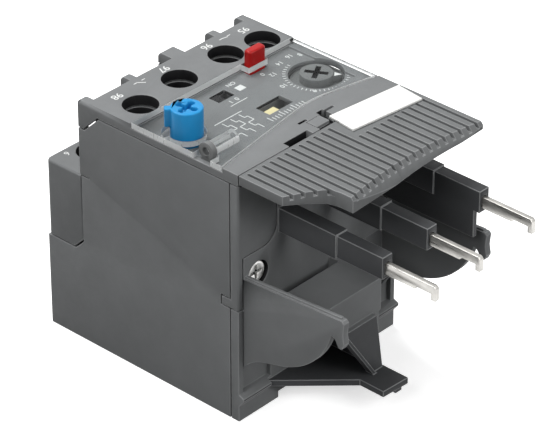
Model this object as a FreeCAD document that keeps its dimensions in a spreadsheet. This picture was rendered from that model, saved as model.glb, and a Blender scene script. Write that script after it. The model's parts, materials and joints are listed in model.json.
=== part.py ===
import FreeCAD
import Part
import math
import os
import Sketcher
from FreeCAD import Placement, Rotation, Vector

# Plug-on thermal overload relay, 45 mm module, lying on its back.
# Axes while building: X across the module, Z up out of the front panel,
# Y = 0 is the wall that meets the contactor, so the pins reach to -Y.
# Every finished piece is moved by frame_shift so the whole sits centred in Y.

DOC = FreeCAD.newDocument("overload_relay")

SIZES = [
    ("width", 45.0, "module width"),
    ("panel_height", 55.0, "back to front panel"),
    ("upper_depth", 41.0, "contactor wall to terminal side, upper box"),
    ("base_depth", 50.8, "contactor wall to terminal side, base"),
    ("strip_depth", 38.8, "contactor wall to the rear edge of the auxiliary strip"),
    ("base_height", 21.0, "height of the deep base under the terminal block"),
    ("block_top", 38.0, "top of the main terminal block"),
    ("cap_height", 2.4, "thickness of the top cover"),
    ("wall_thick", 2.0, "coupling cover wall"),
    ("seam_gap", 0.25, "visible gap between mouldings"),
    ("run_gap", 0.05, "radial clearance of turning parts"),
    ("slide_gap", 0.15, "clearance beside sliding parts"),
    ("fit_gap", 0.05, "clearance of parts laid in a pocket"),
    # auxiliary terminals
    ("aux_outer_line", 31.0, "outer auxiliary screws from the wall"),
    ("aux_inner_line", 32.3, "inner auxiliary screws from the wall"),
    ("aux_first", -16.0, "first auxiliary screw"),
    ("aux_second", -4.1, "second auxiliary screw"),
    ("aux_third", 8.8, "third auxiliary screw"),
    ("aux_fourth", 17.8, "fourth auxiliary screw"),
    ("access_radius", 3.55, "screwdriver hole"),
    ("aux_floor_down", 15.0, "floor of the auxiliary wire chamber below the front face"),
    ("aux_roof_down", 7.5, "roof of the auxiliary wire chamber below the front face"),
    ("aux_entry", 5.6, "width of the auxiliary wire chamber"),
    ("rib_tip", 41.4, "tips of the terminal ribs from the wall"),
    ("middle_tip", 42.6, "tip of the wide middle rib from the wall"),
    ("rib_width", 1.8, "terminal rib"),
    ("middle_width", 3.6, "wide middle rib"),
    ("skirt_down", 6.2, "side skirt of the top cover below the front face"),
    ("skirt_start", 36.2, "where the side skirt starts to drop"),
    # main terminals
    ("main_pitch", 14.2, "pitch of the load terminals"),
    ("main_line", 45.8, "row of load screws from the wall"),
    ("main_entry", 9.2, "load wire entry, width and height"),
    ("main_floor_up", 2.4, "floor of the load wire entry above the base"),
    ("block_bevel", 2.2, "bevel between the base and the terminal block"),
    # clear cover
    ("seat_depth", 1.0, "recess that takes the clear cover"),
    ("cover_thick", 1.25, "clear cover"),
    ("cover_rear", 27.3, "rear edge of the clear cover"),
    ("cover_left", 3.8, "front edge of the clear cover, left side"),
    ("cover_right", 4.9, "front edge of the clear cover, right side"),
    ("cover_peak", 7.75, "front edge of the clear cover beside its rounded peak"),
    ("cover_arc", 19.0, "radius of the rounded peak"),
    ("panel_depth", 1.5, "label panel below the front face"),
    ("hinge_inset", 0.62, "hinge line of the cover from the side"),
    ("hinge_radius", 0.56, "hinge barrel"),
    ("hinge_pin", 0.3, "hinge pin"),
    # reset knob
    ("knob_across", -17.7, "reset knob, across"),
    ("knob_along", 17.3, "reset knob from the wall"),
    ("knob_radius", 3.15, "reset knob"),
    ("fin_reach", 4.2, "fin of the reset knob from its axis"),
    ("knob_rise", 5.6, "top of the reset knob above the front face"),
    ("knob_sink", 2.2, "underside of the reset knob below the front face"),
    ("fin_clear", 1.8, "underside of the fin above the front face"),
    ("stem_radius", 2.0, "reset plunger"),
    ("reset_travel", 1.6, "press travel of the reset knob"),
    # stop button
    ("stop_across", 10.2, "stop button, across"),
    ("stop_along", 26.0, "stop button from the wall"),
    ("stop_width", 4.3, "stop button"),
    ("stop_depth", 1.9, "stop button"),
    ("stop_rise", 3.3, "top of the stop button above the front face"),
    ("stop_travel", 2.0, "press travel of the stop button"),
    # windows
    ("test_across", -1.7, "middle of the test window"),
    ("test_along", 23.55, "middle of the test window"),
    ("test_wide", 4.3, "test window"),
    ("test_deep", 2.8, "test window"),
    ("test_travel", 1.6, "travel of the test slide"),
    ("trip_across", 2.7, "middle of the trip window"),
    ("trip_along", 14.0, "middle of the trip window"),
    ("trip_wide", 6.6, "trip window"),
    ("trip_deep", 3.6, "trip window"),
    ("flag_wide", 2.8, "trip flag"),
    ("flag_travel", 3.0, "travel of the trip flag"),
    # dial
    ("dial_across", 16.7, "setting dial, across"),
    ("dial_along", 15.9, "setting dial from the wall"),
    ("dial_well", 5.5, "well of the setting dial"),
    ("dial_boss", 3.3, "raised boss of the dial"),
    ("dial_shaft", 2.4, "shaft of the dial"),
    # seal post
    ("seal_inset", 1.8, "middle of the seal post from the side"),
    ("seal_along", 9.1, "seal post from the wall"),
    ("seal_rise", 0.8, "axis of the seal hole above the front face"),
    ("seal_radius", 1.85, "seal post ring"),
    ("seal_hole", 0.8, "seal wire hole"),
    ("seal_thick", 1.2, "seal post ring"),
    # apron
    ("apron_reach", 20.7, "front apron beyond the wall"),
    ("apron_side", 11.0, "length of the apron at the left side"),
    ("apron_corner", -14.3, "left corner of the apron nose"),
    ("apron_thick", 3.2, "apron at the left corner of its nose"),
    ("apron_left_thick", 1.8, "apron at the left side"),
    ("apron_right_thick", 1.6, "apron at the right side"),
    ("groove_pitch", 2.0, "pitch of the grip grooves"),
    ("groove_width", 0.65, "grip groove"),
    ("groove_depth", 1.1, "grip groove"),
    ("bow_radius", 90.0, "scalloped front of the apron"),
    ("bow_depth", 2.4, "deepest scallop at the top face"),
    # coupling
    ("sleeve_reach", 25.3, "pin sleeves beyond the wall"),
    ("sleeve_width", 2.7, "pin sleeve"),
    ("sleeve_low", 38.0, "underside of the left sleeve"),
    ("sleeve_high", 42.7, "top of the left sleeve"),
    ("pin_left", -9.8, "left pin"),
    ("pin_middle", 2.7, "middle pin"),
    ("pin_right", 17.8, "right pin"),
    ("lift_middle", 0.4, "middle pin above the left pin"),
    ("lift_right", 1.5, "right pin above the left pin"),
    ("pin_reach", 37.2, "pins beyond the wall"),
    ("pin_thick", 1.1, "pin"),
    ("pin_low", 38.8, "underside of the left pin"),
    ("pin_high", 41.2, "top of the left pin"),
    ("pin_root", 7.0, "pin inside the housing"),
    ("wing_inset", 1.4, "guide wing from the side"),
    ("wing_thick", 1.5, "guide wing"),
    ("block_left", -11.8, "left side of the latch block"),
    ("block_right", 4.2, "right side of the latch block"),
    ("block_reach", 12.1, "latch block beyond the wall"),
    ("block_level", 25.4, "top of the latch block"),
    ("block_thick", 7.4, "height of the latch block"),
    ("foot_level", 4.3, "underside of the latch foot"),
    ("foot_thick", 1.4, "latch foot"),
    ("foot_reach", 18.9, "latch foot beyond the wall"),
    ("foot_left", -2.6, "left side of the latch foot"),
    ("foot_right", 4.2, "right side of the latch foot"),
    ("wing_reach", 24.8, "guide wing beyond the wall"),
    ("wing_top", 31.7, "top edge of the guide wing at the wall"),
    ("ledge_height", 6.2, "top of the ledge at the foot of the wall"),
    ("ledge_reach", 1.2, "ledge beyond the wall"),
    ("ledge_end", 14.6, "inner end of the ledge from the middle"),
    ("leg_side", 11.4, "inner side of the front legs from the middle"),
    ("leg_height", 1.4, "gap between the front legs"),
    ("leg_depth", 5.0, "gap between the front legs, from the wall"),
    ("recess_depth", 1.1, "recess of the wall round the wing roots"),
    ("panel_hook", 25.2, "lower end of the corner panel's side strip"),
    ("panel_tab", 4.3, "tab of the corner panel, from the wall"),
    ("panel_edge", -12.0, "right edge of the corner panel"),
    ("panel_low", 36.5, "lower edge of the corner panel"),
    ("screw_across", 17.0, "housing screws from the middle"),
    ("screw_level", 31.1, "housing screws above the back"),
]


class Size:
    """A number together with the sheet formula it comes from."""

    def __init__(self, text, value):
        self.text = text
        self.value = float(value)

    def _join(self, other, sign, swap=False):
        other = as_size(other)
        first, second = (other, self) if swap else (self, other)
        values = {
            "+": first.value + second.value,
            "-": first.value - second.value,
            "*": first.value * second.value,
        }
        return Size("(%s %s %s)" % (first.text, sign, second.text), values[sign])

    def __add__(self, other):
        return self._join(other, "+")

    def __radd__(self, other):
        return self._join(other, "+", True)

    def __sub__(self, other):
        return self._join(other, "-")

    def __rsub__(self, other):
        return self._join(other, "-", True)

    def __mul__(self, other):
        return self._join(other, "*")

    def __rmul__(self, other):
        return self._join(other, "*", True)

    def __neg__(self):
        return as_size(0) - self


def as_size(number):
    """Wrap a plain number so it can stand in a formula."""
    if isinstance(number, Size):
        return number
    text = "%.6g" % number
    return Size("(%s)" % text if number < 0 else text, number)


def make_sheet():
    """Write the driving sizes and return them by name."""
    sheet = DOC.addObject("Spreadsheet::Sheet", "Dims")
    found = {}
    for row, (alias, value, note) in enumerate(SIZES, start=1):
        sheet.set("A%d" % row, alias)
        sheet.set("B%d" % row, "%g" % value)
        sheet.setAlias("B%d" % row, alias)
        sheet.set("C%d" % row, note)
        found[alias] = Size("Dims." + alias, value)
    DOC.recompute()
    return found


D = make_sheet()
HALF = D["width"] * 0.5
TOP = D["panel_height"]
SPLIT = TOP - D["cap_height"]
SHIFT = (D["base_depth"] - D["pin_reach"]) * -0.5


def bind(thing, prop, size):
    """Set a length-like property and tie it to its formula."""
    size = as_size(size)
    setattr(thing, prop, size.value)
    thing.setExpression(prop, size.text)


def bind_base(thing, x, y, z, prop="Placement"):
    """Tie the three coordinates of a placement."""
    sizes = [as_size(v) for v in (x, y, z)]
    old = getattr(thing, prop)
    setattr(thing, prop, Placement(Vector(*[s.value for s in sizes]), old.Rotation))
    for axis, size in zip("xyz", sizes):
        thing.setExpression("%s%s.Base.%s" % ("." if prop != "Placement" else "", prop, axis),
                            size.text)


class Moulding:
    """A PartDesign body built from named sketches on its own origin planes."""

    def __init__(self, label):
        self.body = DOC.addObject("PartDesign::Body", label)
        self.body.Label = label
        self.made = 0

    def origin(self, role):
        return [f for f in self.body.Origin.OriginFeatures if f.Role == role][0]

    def _name(self, kind):
        self.made += 1
        return "%s_%s_%d" % (self.body.Name, kind, self.made)

    def sketch(self, role, level=0):
        sk = self.body.newObject("Sketcher::SketchObject", self._name("sketch"))
        sk.AttachmentSupport = [(self.origin(role), "")]
        sk.MapMode = "FlatFace"
        bind_base(sk, 0, 0, level, "AttachmentOffset")
        return sk

    def _feature(self, kind, sk, length, reverse):
        feature = self.body.newObject("PartDesign::" + kind, self._name(kind.lower()))
        feature.Profile = sk
        bind(feature, "Length", length)
        feature.Reversed = reverse
        sk.Visibility = False
        return feature

    def pad(self, sk, length, reverse=False):
        return self._feature("Pad", sk, length, reverse)

    def pocket(self, sk, depth, reverse=False):
        before = self.volume()
        feature = self._feature("Pocket", sk, depth, reverse)
        DOC.recompute()
        if self.volume() >= before - 1e-6:
            raise ValueError("pocket removes nothing: " + feature.Name)
        return feature

    def volume(self):
        DOC.recompute()
        return self.body.Shape.Volume if not self.body.Shape.isNull() else 0.0

    def row(self, feature, axis_role, span, count):
        """Repeat a feature along an origin axis."""
        pattern = self.body.newObject("PartDesign::LinearPattern", self._name("row"))
        pattern.Originals = [feature]
        pattern.Direction = (self.origin(axis_role), [""])
        bind(pattern, "Length", span)
        pattern.Occurrences = count
        self.body.Tip = pattern
        return pattern

    def mirror(self, features):
        """Copy features to the other side of the middle plane."""
        twin = self.body.newObject("PartDesign::Mirrored", self._name("mirror"))
        twin.Originals = features
        twin.MirrorPlane = (self.origin("YZ_Plane"), [""])
        self.body.Tip = twin
        return twin

    def dress(self, kind, size, chosen):
        """Round or chamfer the edges a test picks on the present tip."""
        DOC.recompute()
        tip = self.body.Tip
        names = ["Edge%d" % (i + 1) for i, e in enumerate(tip.Shape.Edges) if chosen(e)]
        if not names:
            raise ValueError("no edge to dress on " + self.body.Name)
        feature = self.body.newObject("PartDesign::" + kind, self._name(kind.lower()))
        feature.Base = (tip, names)
        bind(feature, "Radius" if kind == "Fillet" else "Size", size)
        tip.Visibility = False
        DOC.recompute()
        return feature


def outline(sk, points, arcs=None):
    """Closed profile; arcs maps a segment number to (radius, middle point)."""
    arcs = arcs or {}
    pts = [(as_size(x), as_size(y)) for x, y in points]
    count = len(pts)
    base = sk.GeometryCount
    ends = []
    for i in range(count):
        (ax, ay), (bx, by) = pts[i], pts[(i + 1) % count]
        start = Vector(ax.value, ay.value, 0)
        stop = Vector(bx.value, by.value, 0)
        if i in arcs:
            mid = Vector(as_size(arcs[i][1][0]).value, as_size(arcs[i][1][1]).value, 0)
            sk.addGeometry(Part.Arc(start, mid, stop), False)
            flip = sk.getPoint(base + i, 1).distanceToPoint(start) > 1e-4
            ends.append((2, 1) if flip else (1, 2))
        else:
            sk.addGeometry(Part.LineSegment(start, stop), False)
            ends.append((1, 2))
    for i in range(count):
        nxt = (i + 1) % count
        sk.addConstraint(Sketcher.Constraint("Coincident", base + i, ends[i][1],
                                             base + nxt, ends[nxt][0]))
    for i, (px, py) in enumerate(pts):
        pin_point(sk, base + i, ends[i][0], px, py)
    for i, (radius, _) in arcs.items():
        radius = as_size(radius)
        index = sk.addConstraint(Sketcher.Constraint("Radius", base + i, radius.value))
        sk.setExpression("Constraints[%d]" % index, radius.text)


def pin_point(sk, geometry, end, px, py):
    """Fix a sketch point by its two signed distances from the origin."""
    for kind, size in (("DistanceX", as_size(px)), ("DistanceY", as_size(py))):
        index = sk.addConstraint(Sketcher.Constraint(kind, -1, 1, geometry, end, size.value))
        sk.setExpression("Constraints[%d]" % index, size.text)


def rect(sk, x0, x1, y0, y1):
    outline(sk, [(x0, y0), (x1, y0), (x1, y1), (x0, y1)])


def circle(sk, x, y, radius):
    x, y, radius = as_size(x), as_size(y), as_size(radius)
    geometry = sk.addGeometry(Part.Circle(Vector(x.value, y.value, 0), Vector(0, 0, 1),
                                          radius.value), False)
    pin_point(sk, geometry, 3, x, y)
    index = sk.addConstraint(Sketcher.Constraint("Radius", geometry, radius.value))
    sk.setExpression("Constraints[%d]" % index, radius.text)


def box(name, x0, x1, y0, y1, z0, z1):
    """Block between two corners."""
    x0, x1, y0, y1, z0, z1 = [as_size(v) for v in (x0, x1, y0, y1, z0, z1)]
    solid = DOC.addObject("Part::Box", name)
    bind(solid, "Length", x1 - x0)
    bind(solid, "Width", y1 - y0)
    bind(solid, "Height", z1 - z0)
    bind_base(solid, x0, y0, z0)
    return solid


AXES = {"z": Rotation(), "y": Rotation(Vector(1, 0, 0), -90), "x": Rotation(Vector(0, 1, 0), 90)}


def rod(name, radius, length, x, y, z, axis="z"):
    """Cylinder from a point along an axis."""
    solid = DOC.addObject("Part::Cylinder", name)
    solid.Placement = Placement(Vector(), AXES[axis])
    bind(solid, "Radius", radius)
    bind(solid, "Height", length)
    bind_base(solid, x, y, z)
    return solid


def fuse(name, pieces):
    joined = DOC.addObject("Part::MultiFuse", name)
    joined.Shapes = pieces
    return joined


def cut(name, base, tools):
    tool = tools[0] if len(tools) == 1 else fuse(name + "_tools", tools)
    result = DOC.addObject("Part::Cut", name)
    result.Base = base
    result.Tool = tool
    return result


def group(name, pieces):
    bundle = DOC.addObject("Part::Compound", name)
    bundle.Links = pieces
    return bundle


def aux_screws_at():
    """Across and along position of the auxiliary screws."""
    return [(D["aux_first"], D["aux_outer_line"]), (D["aux_second"], D["aux_inner_line"]),
            (D["aux_third"], D["aux_inner_line"]), (D["aux_fourth"], D["aux_outer_line"])]


def main_screws_at():
    return [-D["main_pitch"], as_size(0), D["main_pitch"]]


def ribs():
    """Sides and tip of each rib that parts the auxiliary terminals."""
    spots = [x for x, _ in aux_screws_at()]
    lines = [(a + b) * 0.5 for a, b in zip(spots[:-1], spots[1:])]
    wide = [D["rib_width"] * 0.5, D["middle_width"] * 0.5, D["rib_width"] * 0.5]
    tips = [D["rib_tip"], D["middle_tip"], D["rib_tip"]]
    inner = [(x - w, x + w, tip) for x, w, tip in zip(lines, wide, tips)]
    side = D["rib_width"]
    return [(-HALF, side - HALF, D["rib_tip"])] + inner + [(HALF - side, HALF, D["rib_tip"])]


def pin_spots():
    """Across position and lift of the three pins."""
    return [("left", D["pin_left"], as_size(0)), ("middle", D["pin_middle"], D["lift_middle"]),
            ("right", D["pin_right"], D["lift_right"])]


# ---------------------------------------------------------------- housings

def main_housing():
    m = Moulding("main_housing")
    front, gap = D["wall_thick"] + D["seam_gap"], D["seam_gap"]
    for rear, high in ((D["base_depth"], D["base_height"] - gap), (D["upper_depth"], D["block_top"]),
                       (D["strip_depth"], SPLIT - gap)):
        sk = m.sketch("XY_Plane")
        rect(sk, -HALF, HALF, front, rear)
        m.pad(sk, high)
    # bevel the terminal block sits over
    bevel, low = D["block_bevel"], D["base_height"] - gap
    sk = m.sketch("YZ_Plane", -HALF)
    outline(sk, [(D["upper_depth"] - 1.0, low - 1.0), (D["upper_depth"] + bevel, low - 1.0),
                 (D["upper_depth"] + bevel, low), (D["upper_depth"], low + bevel),
                 (D["upper_depth"] - 1.0, low + bevel)])
    m.pad(sk, D["width"])
    level = D["block_top"] + gap
    for x0, x1, tip in ribs():
        sk = m.sketch("XY_Plane", level)
        rect(sk, x0, x1, D["strip_depth"] - 1.0, tip)
        m.pad(sk, SPLIT - gap - level)
    # room for the side skirts of the top cover
    for start in (-HALF, HALF - D["rib_width"] - gap):
        sk = m.sketch("YZ_Plane", start)
        skirt_profile(sk, gap, 2.0)
        m.pocket(sk, D["rib_width"] + gap, True)
    # auxiliary chambers, open to the terminal side, and their screw shafts
    for x, y in aux_screws_at():
        half = D["aux_entry"] * 0.5
        sk = m.sketch("XZ_Plane", -(D["strip_depth"] + 3.0))
        rect(sk, x - half, x + half, TOP - D["aux_floor_down"], TOP - D["aux_roof_down"])
        m.pocket(sk, D["strip_depth"] + 3.0 - y + D["access_radius"], True)
        sk = m.sketch("XY_Plane", TOP)
        circle(sk, x, y, D["access_radius"])
        m.pocket(sk, D["aux_floor_down"] - 1.6)
    cavities(m)
    # slots that take the roots of the three pins
    for _, spot, lift in pin_spots():
        half = D["pin_thick"] * 0.5 + D["fit_gap"]
        sk = m.sketch("XZ_Plane", -D["wall_thick"] + 0.5)
        rect(sk, spot - half, spot + half, D["pin_low"] + lift - D["fit_gap"],
             D["pin_high"] + lift + D["fit_gap"])
        m.pocket(sk, D["pin_root"] - D["wall_thick"] + 0.5 + D["fit_gap"])
    leg_gap(m)
    # pocket of the corner panel's tab
    sk = m.sketch("YZ_Plane", -HALF)
    rect(sk, D["wall_thick"], D["panel_tab"] + gap, D["panel_hook"] - gap, D["panel_hook"] + 1.8 + gap)
    m.pocket(sk, 1.2 + gap, True)
    # core holes of the housing screws
    sk = m.sketch("XZ_Plane", -D["wall_thick"] + 0.5)
    circle(sk, -D["screw_across"], D["screw_level"], 1.25)
    circle(sk, D["screw_across"], D["screw_level"], 1.25)
    m.pocket(sk, 9.5)
    return m.body


def leg_gap(m):
    """Gap between the front legs, open to the back and to the contactor."""
    sk = m.sketch("XY_Plane", 0)
    rect(sk, -D["leg_side"], D["leg_side"], -D["ledge_reach"] - 1.0, D["leg_depth"])
    m.pocket(sk, D["leg_height"], True)


def skirt_profile(sk, gap, over):
    """Side skirt of the top cover, grown by a gap and run out past its edges."""
    start, tip, down = D["skirt_start"], D["rib_tip"], D["skirt_down"]
    drop = down - D["cap_height"]
    high = SPLIT - gap
    outline(sk, [(start - gap, high), (start - gap + drop, high - drop), (tip + over, high - drop),
                 (tip + over, SPLIT + over), (start - gap, SPLIT + over)])


def cavities(m):
    """Shafts under the front panel for everything that is pressed or turned."""
    top = TOP
    # reset: flange chamber, then the plunger bore
    sk = m.sketch("XY_Plane", top)
    circle(sk, D["knob_across"], D["knob_along"], 4.4)
    m.pocket(sk, 7.0)
    sk = m.sketch("XY_Plane", top)
    circle(sk, D["knob_across"], D["knob_along"], D["stem_radius"] + D["run_gap"])
    m.pocket(sk, 13.0)
    # stop: flange chamber and shank slot
    half_w, half_d = D["stop_width"] * 0.5, D["stop_depth"] * 0.5
    sk = m.sketch("XY_Plane", top)
    rect(sk, D["stop_across"] - half_w - 1.2, D["stop_across"] + half_w + 0.6,
         D["stop_along"] - half_d - 0.6, D["stop_along"] + half_d + 0.6)
    m.pocket(sk, 9.0)
    # test slide chamber
    sk = m.sketch("XY_Plane", top)
    rect(sk, D["test_across"] - D["test_wide"] * 0.5 - 1.2, D["test_across"] + D["test_wide"] * 0.5 + 1.2,
         D["test_along"] - D["test_deep"] * 0.5 - 0.4, D["test_along"] + D["test_deep"] * 0.5 + 0.4)
    m.pocket(sk, 4.6)
    # trip flag chamber
    sk = m.sketch("XY_Plane", top)
    rect(sk, D["trip_across"] - D["trip_wide"] * 0.5 - 2.0, D["trip_across"] + D["trip_wide"] * 0.5 + 2.0,
         D["trip_along"] - D["trip_deep"] * 0.5 - 0.4, D["trip_along"] + D["trip_deep"] * 0.5 + 0.4)
    m.pocket(sk, 5.6)
    # dial well and shaft bore
    sk = m.sketch("XY_Plane", top)
    circle(sk, D["dial_across"], D["dial_along"], D["dial_well"])
    m.pocket(sk, 3.8)
    sk = m.sketch("XY_Plane", top)
    circle(sk, D["dial_across"], D["dial_along"], D["dial_shaft"] + D["run_gap"])
    m.pocket(sk, 11.0)


def terminal_block():
    """Load terminal block: screw shafts on top, wire entries at the end."""
    m = Moulding("terminal_block")
    front, low = D["upper_depth"] + D["seam_gap"], D["base_height"]
    sk = m.sketch("YZ_Plane", -HALF)
    outline(sk, [(front, D["block_top"]), (D["base_depth"], D["block_top"]), (D["base_depth"], low),
                 (front + D["block_bevel"], low), (front, low + D["block_bevel"])])
    m.pad(sk, D["width"])
    top = D["block_top"].value
    rear = D["base_depth"].value
    m.dress("Fillet", as_size(1.2), lambda e: is_line(e, "z") and at(e, "y", rear))
    m.dress("Fillet", as_size(0.6), lambda e: is_line(e, "x") and at(e, "y", rear) and at(e, "z", top))
    floor = low + D["main_floor_up"]
    for spot in main_screws_at():
        sk = m.sketch("XY_Plane", D["block_top"])
        circle(sk, spot, D["main_line"], D["access_radius"])
        m.pocket(sk, D["block_top"] - floor - 3.0)
        half = D["main_entry"] * 0.5
        sk = m.sketch("XZ_Plane", -D["base_depth"])
        rect(sk, spot - half, spot + half, floor, floor + D["main_entry"])
        m.pocket(sk, D["base_depth"] - D["upper_depth"] - D["seam_gap"] - 0.8, True)
    return m.body


def is_line(edge, axis):
    """True for a straight edge along an axis."""
    if not isinstance(edge.Curve, (Part.Line, Part.LineSegment)):
        return False
    run = edge.Vertexes[-1].Point - edge.Vertexes[0].Point
    parts = {"x": run.x, "y": run.y, "z": run.z}
    return abs(abs(parts[axis]) - run.Length) < 1e-6 and run.Length > 1e-6


def at(edge, axis, value, near=1e-4):
    """True when both ends of an edge lie at one coordinate."""
    return all(abs(getattr(v.Point, axis) - value) < near for v in edge.Vertexes)


def coupling_cover():
    """Wall on the contactor side with sleeves, wings, latch block and foot."""
    m = Moulding("coupling_cover")
    gap = D["seam_gap"]
    edge, low = D["panel_edge"] + gap, D["panel_low"] - gap
    strip = 1.2 + gap
    hook = D["panel_hook"] - gap
    sk = m.sketch("XZ_Plane", -D["wall_thick"])
    outline(sk, [(-HALF, 0), (HALF, 0), (HALF, SPLIT - gap), (edge, SPLIT - gap), (edge, low + 4.0),
                 (edge - 4.0, low), (strip - HALF, low), (strip - HALF, hook), (-HALF, hook)],
            {4: (4.0, (edge - 1.1716, low + 1.1716))})
    m.pad(sk, D["wall_thick"])
    # shallow recesses round the wing roots; the corner strips and the base stay proud
    sk = m.sketch("XZ_Plane", 0)
    inner = -D["block_left"] + 1.8
    for side in (-1.0, 1.0):
        rect(sk, side * (HALF - 1.2), side * inner, D["ledge_height"], D["panel_hook"] - 0.6)
    m.pocket(sk, D["recess_depth"])
    # ledges at the foot of the wall
    for start in (-HALF, D["ledge_end"]):
        sk = m.sketch("YZ_Plane", start)
        outline(sk, [(0.5, D["ledge_height"] - 2.6), (0, D["ledge_height"] - 2.6),
                     (-D["ledge_reach"], D["ledge_height"] - 1.1),
                     (-D["ledge_reach"], D["ledge_height"] - 0.5), (0, D["ledge_height"]),
                     (0.5, D["ledge_height"])])
        m.pad(sk, HALF - D["ledge_end"])
    leg_gap(m)
    # three pin sleeves, each with a heavier root
    for _, spot, lift in pin_spots():
        half = D["sleeve_width"] * 0.5
        sk = m.sketch("XZ_Plane", -0.5)
        rect(sk, spot - half, spot + half, D["sleeve_low"] + lift, D["sleeve_high"] + lift)
        m.pad(sk, D["sleeve_reach"] + 0.5)
        sk = m.sketch("XZ_Plane", -0.5)
        rect(sk, spot - half - 0.3, spot + half + 0.3, D["sleeve_low"] + lift - 0.25,
             D["sleeve_high"] + lift + 0.25)
        m.pad(sk, D["sleeve_reach"] * 0.58)
    # web under the right sleeve, joined to the right wing by a shelf
    right, lift = D["pin_right"], D["lift_right"]
    web_low = D["wing_top"] + 1.9
    sk = m.sketch("XZ_Plane", -0.5)
    rect(sk, right - D["sleeve_width"] * 0.5, right - 0.3, web_low, D["sleeve_low"] + lift + 0.5)
    m.pad(sk, D["sleeve_reach"] - 0.8)
    latch_block(m)
    wings(m)
    # pin bores
    for _, spot, lift in pin_spots():
        half = D["pin_thick"] * 0.5 + 0.1
        sk = m.sketch("XZ_Plane", D["sleeve_reach"] + 0.5)
        rect(sk, spot - half, spot + half, D["pin_low"] + lift - 0.1, D["pin_high"] + lift + 0.1)
        m.pocket(sk, D["sleeve_reach"] + D["wall_thick"] + 1.0)
    # screw recesses and through holes
    for radius, depth in ((2.75, D["wall_thick"] - 0.4), (1.6, D["wall_thick"] + 0.5)):
        sk = m.sketch("XZ_Plane", 0)
        circle(sk, -D["screw_across"], D["screw_level"], radius)
        circle(sk, D["screw_across"], D["screw_level"], radius)
        m.pocket(sk, depth)
    # relief groove between the wall and the latch block
    sk = m.sketch("XY_Plane", D["block_level"] + 0.5)
    rect(sk, D["block_left"] - 1.0, D["block_right"] - 1.4, -2.4, 0)
    m.pocket(sk, D["block_thick"] - 0.9)
    return m.body


def latch_block(m):
    """Latch block, the web that carries it down, and the foot plate."""
    left, right, reach = D["block_left"], D["block_right"], D["block_reach"]
    under = D["block_level"] - D["block_thick"]
    sk = m.sketch("XY_Plane", under)
    rect(sk, left, right, -reach, 0.5)
    m.pad(sk, D["block_thick"])
    # web that narrows toward the foot, with a raised rib along its slanted side
    sole = D["foot_level"] + 0.5
    sk = m.sketch("XZ_Plane", reach - 0.2)
    outline(sk, [(left + 3.4, under + 0.5), (right - 2.4, under + 0.5), (right - 0.3, sole),
                 (right - 3.2, sole)])
    m.pad(sk, 1.3)
    sk = m.sketch("XZ_Plane", reach - 0.2)
    outline(sk, [(left + 3.4, under + 0.5), (left + 4.3, under + 0.5), (right - 2.3, sole),
                 (right - 3.2, sole)])
    m.pad(sk, 1.9)
    # stiffening plate behind the web, back to the wall
    sk = m.sketch("YZ_Plane", right - 1.7)
    outline(sk, [(0.5, sole), (-reach, sole), (-reach, under + 0.5), (0.5, under + 0.5)])
    m.pad(sk, 1.2)
    # foot plate with its slanted left side, and the lip below it
    foot = D["foot_reach"]
    sk = m.sketch("XY_Plane", D["foot_level"])
    outline(sk, [(-D["ledge_end"], 0.5), (-D["ledge_end"], -0.3), (D["foot_left"], -reach - 0.9),
                 (D["foot_left"], -foot), (D["foot_right"], -foot - 0.4), (D["foot_right"], -reach - 1.2),
                 (right, -reach + 0.2), (right, 0.5)])
    m.pad(sk, D["foot_thick"])
    sk = m.sketch("XY_Plane", D["foot_level"] - 1.3)
    rect(sk, D["foot_left"] + 4.0, D["foot_left"] + 5.8, -foot + 0.3, -foot + 1.9)
    m.pad(sk, 2.0)


def wings(m):
    """Left guide wing with its hooked end, mirrored to the right side."""
    inner = HALF - D["wing_inset"] - D["wing_thick"]
    tip, top = -D["wing_reach"], D["wing_top"]
    sk = m.sketch("YZ_Plane", inner)
    outline(sk, [(1.6, top - 0.1), (tip + 0.5, top + 1.6), (tip, top + 1.1), (tip + 0.25, top - 1.4),
                 (tip - 0.1, top - 3.4), (tip + 0.5, top - 4.6), (tip + 1.3, top - 4.5),
                 (tip + 1.9, top - 3.4), (tip + 2.4, top - 2.8), (tip + 3.0, top - 2.6),
                 (-9.5, top - 15.1), (-4.7, top - 16.5), (1.6, top - 22.9)],
            {9: (18.0, (-17.9, top - 9.6)), 11: (9.5, (-1.2, top - 18.9))})
    plate = m.pad(sk, D["wing_thick"])
    sk = m.sketch("YZ_Plane", inner + 0.3)
    outline(sk, [(1.6, top - 0.6), (tip + 1.0, top + 1.1), (tip + 1.0, top + 2.05), (1.6, top + 0.35)])
    strip = m.pad(sk, D["wing_thick"] * 0.5)
    m.mirror([plate, strip])


def corner_panel():
    """Small panel let into the near top corner of the wall."""
    m = Moulding("corner_panel")
    gap = D["seam_gap"]
    edge, low = D["panel_edge"], D["panel_low"]
    sk = m.sketch("XZ_Plane", -D["wall_thick"])
    hook = D["panel_hook"]
    outline(sk, [(-HALF, hook), (1.2 - HALF, hook), (1.2 - HALF, low), (edge - 4.0, low),
                 (edge, low + 4.0), (edge, SPLIT - gap), (-HALF, SPLIT - gap)],
            {3: (4.0, (edge - 1.1716, low + 1.1716))})
    m.pad(sk, D["wall_thick"])
    sk = m.sketch("XY_Plane", hook)
    rect(sk, -HALF, 1.2 - HALF, D["wall_thick"] - 0.5, D["panel_tab"])
    m.pad(sk, 1.8)
    top = (SPLIT - gap).value
    left = -HALF.value
    m.dress("Fillet", as_size(0.5), lambda e: is_line(e, "z") and at(e, "x", left) and at(e, "y", 0.0)
            and e.Length < top)
    return m.body


# ---------------------------------------------------------------- front panel

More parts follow.
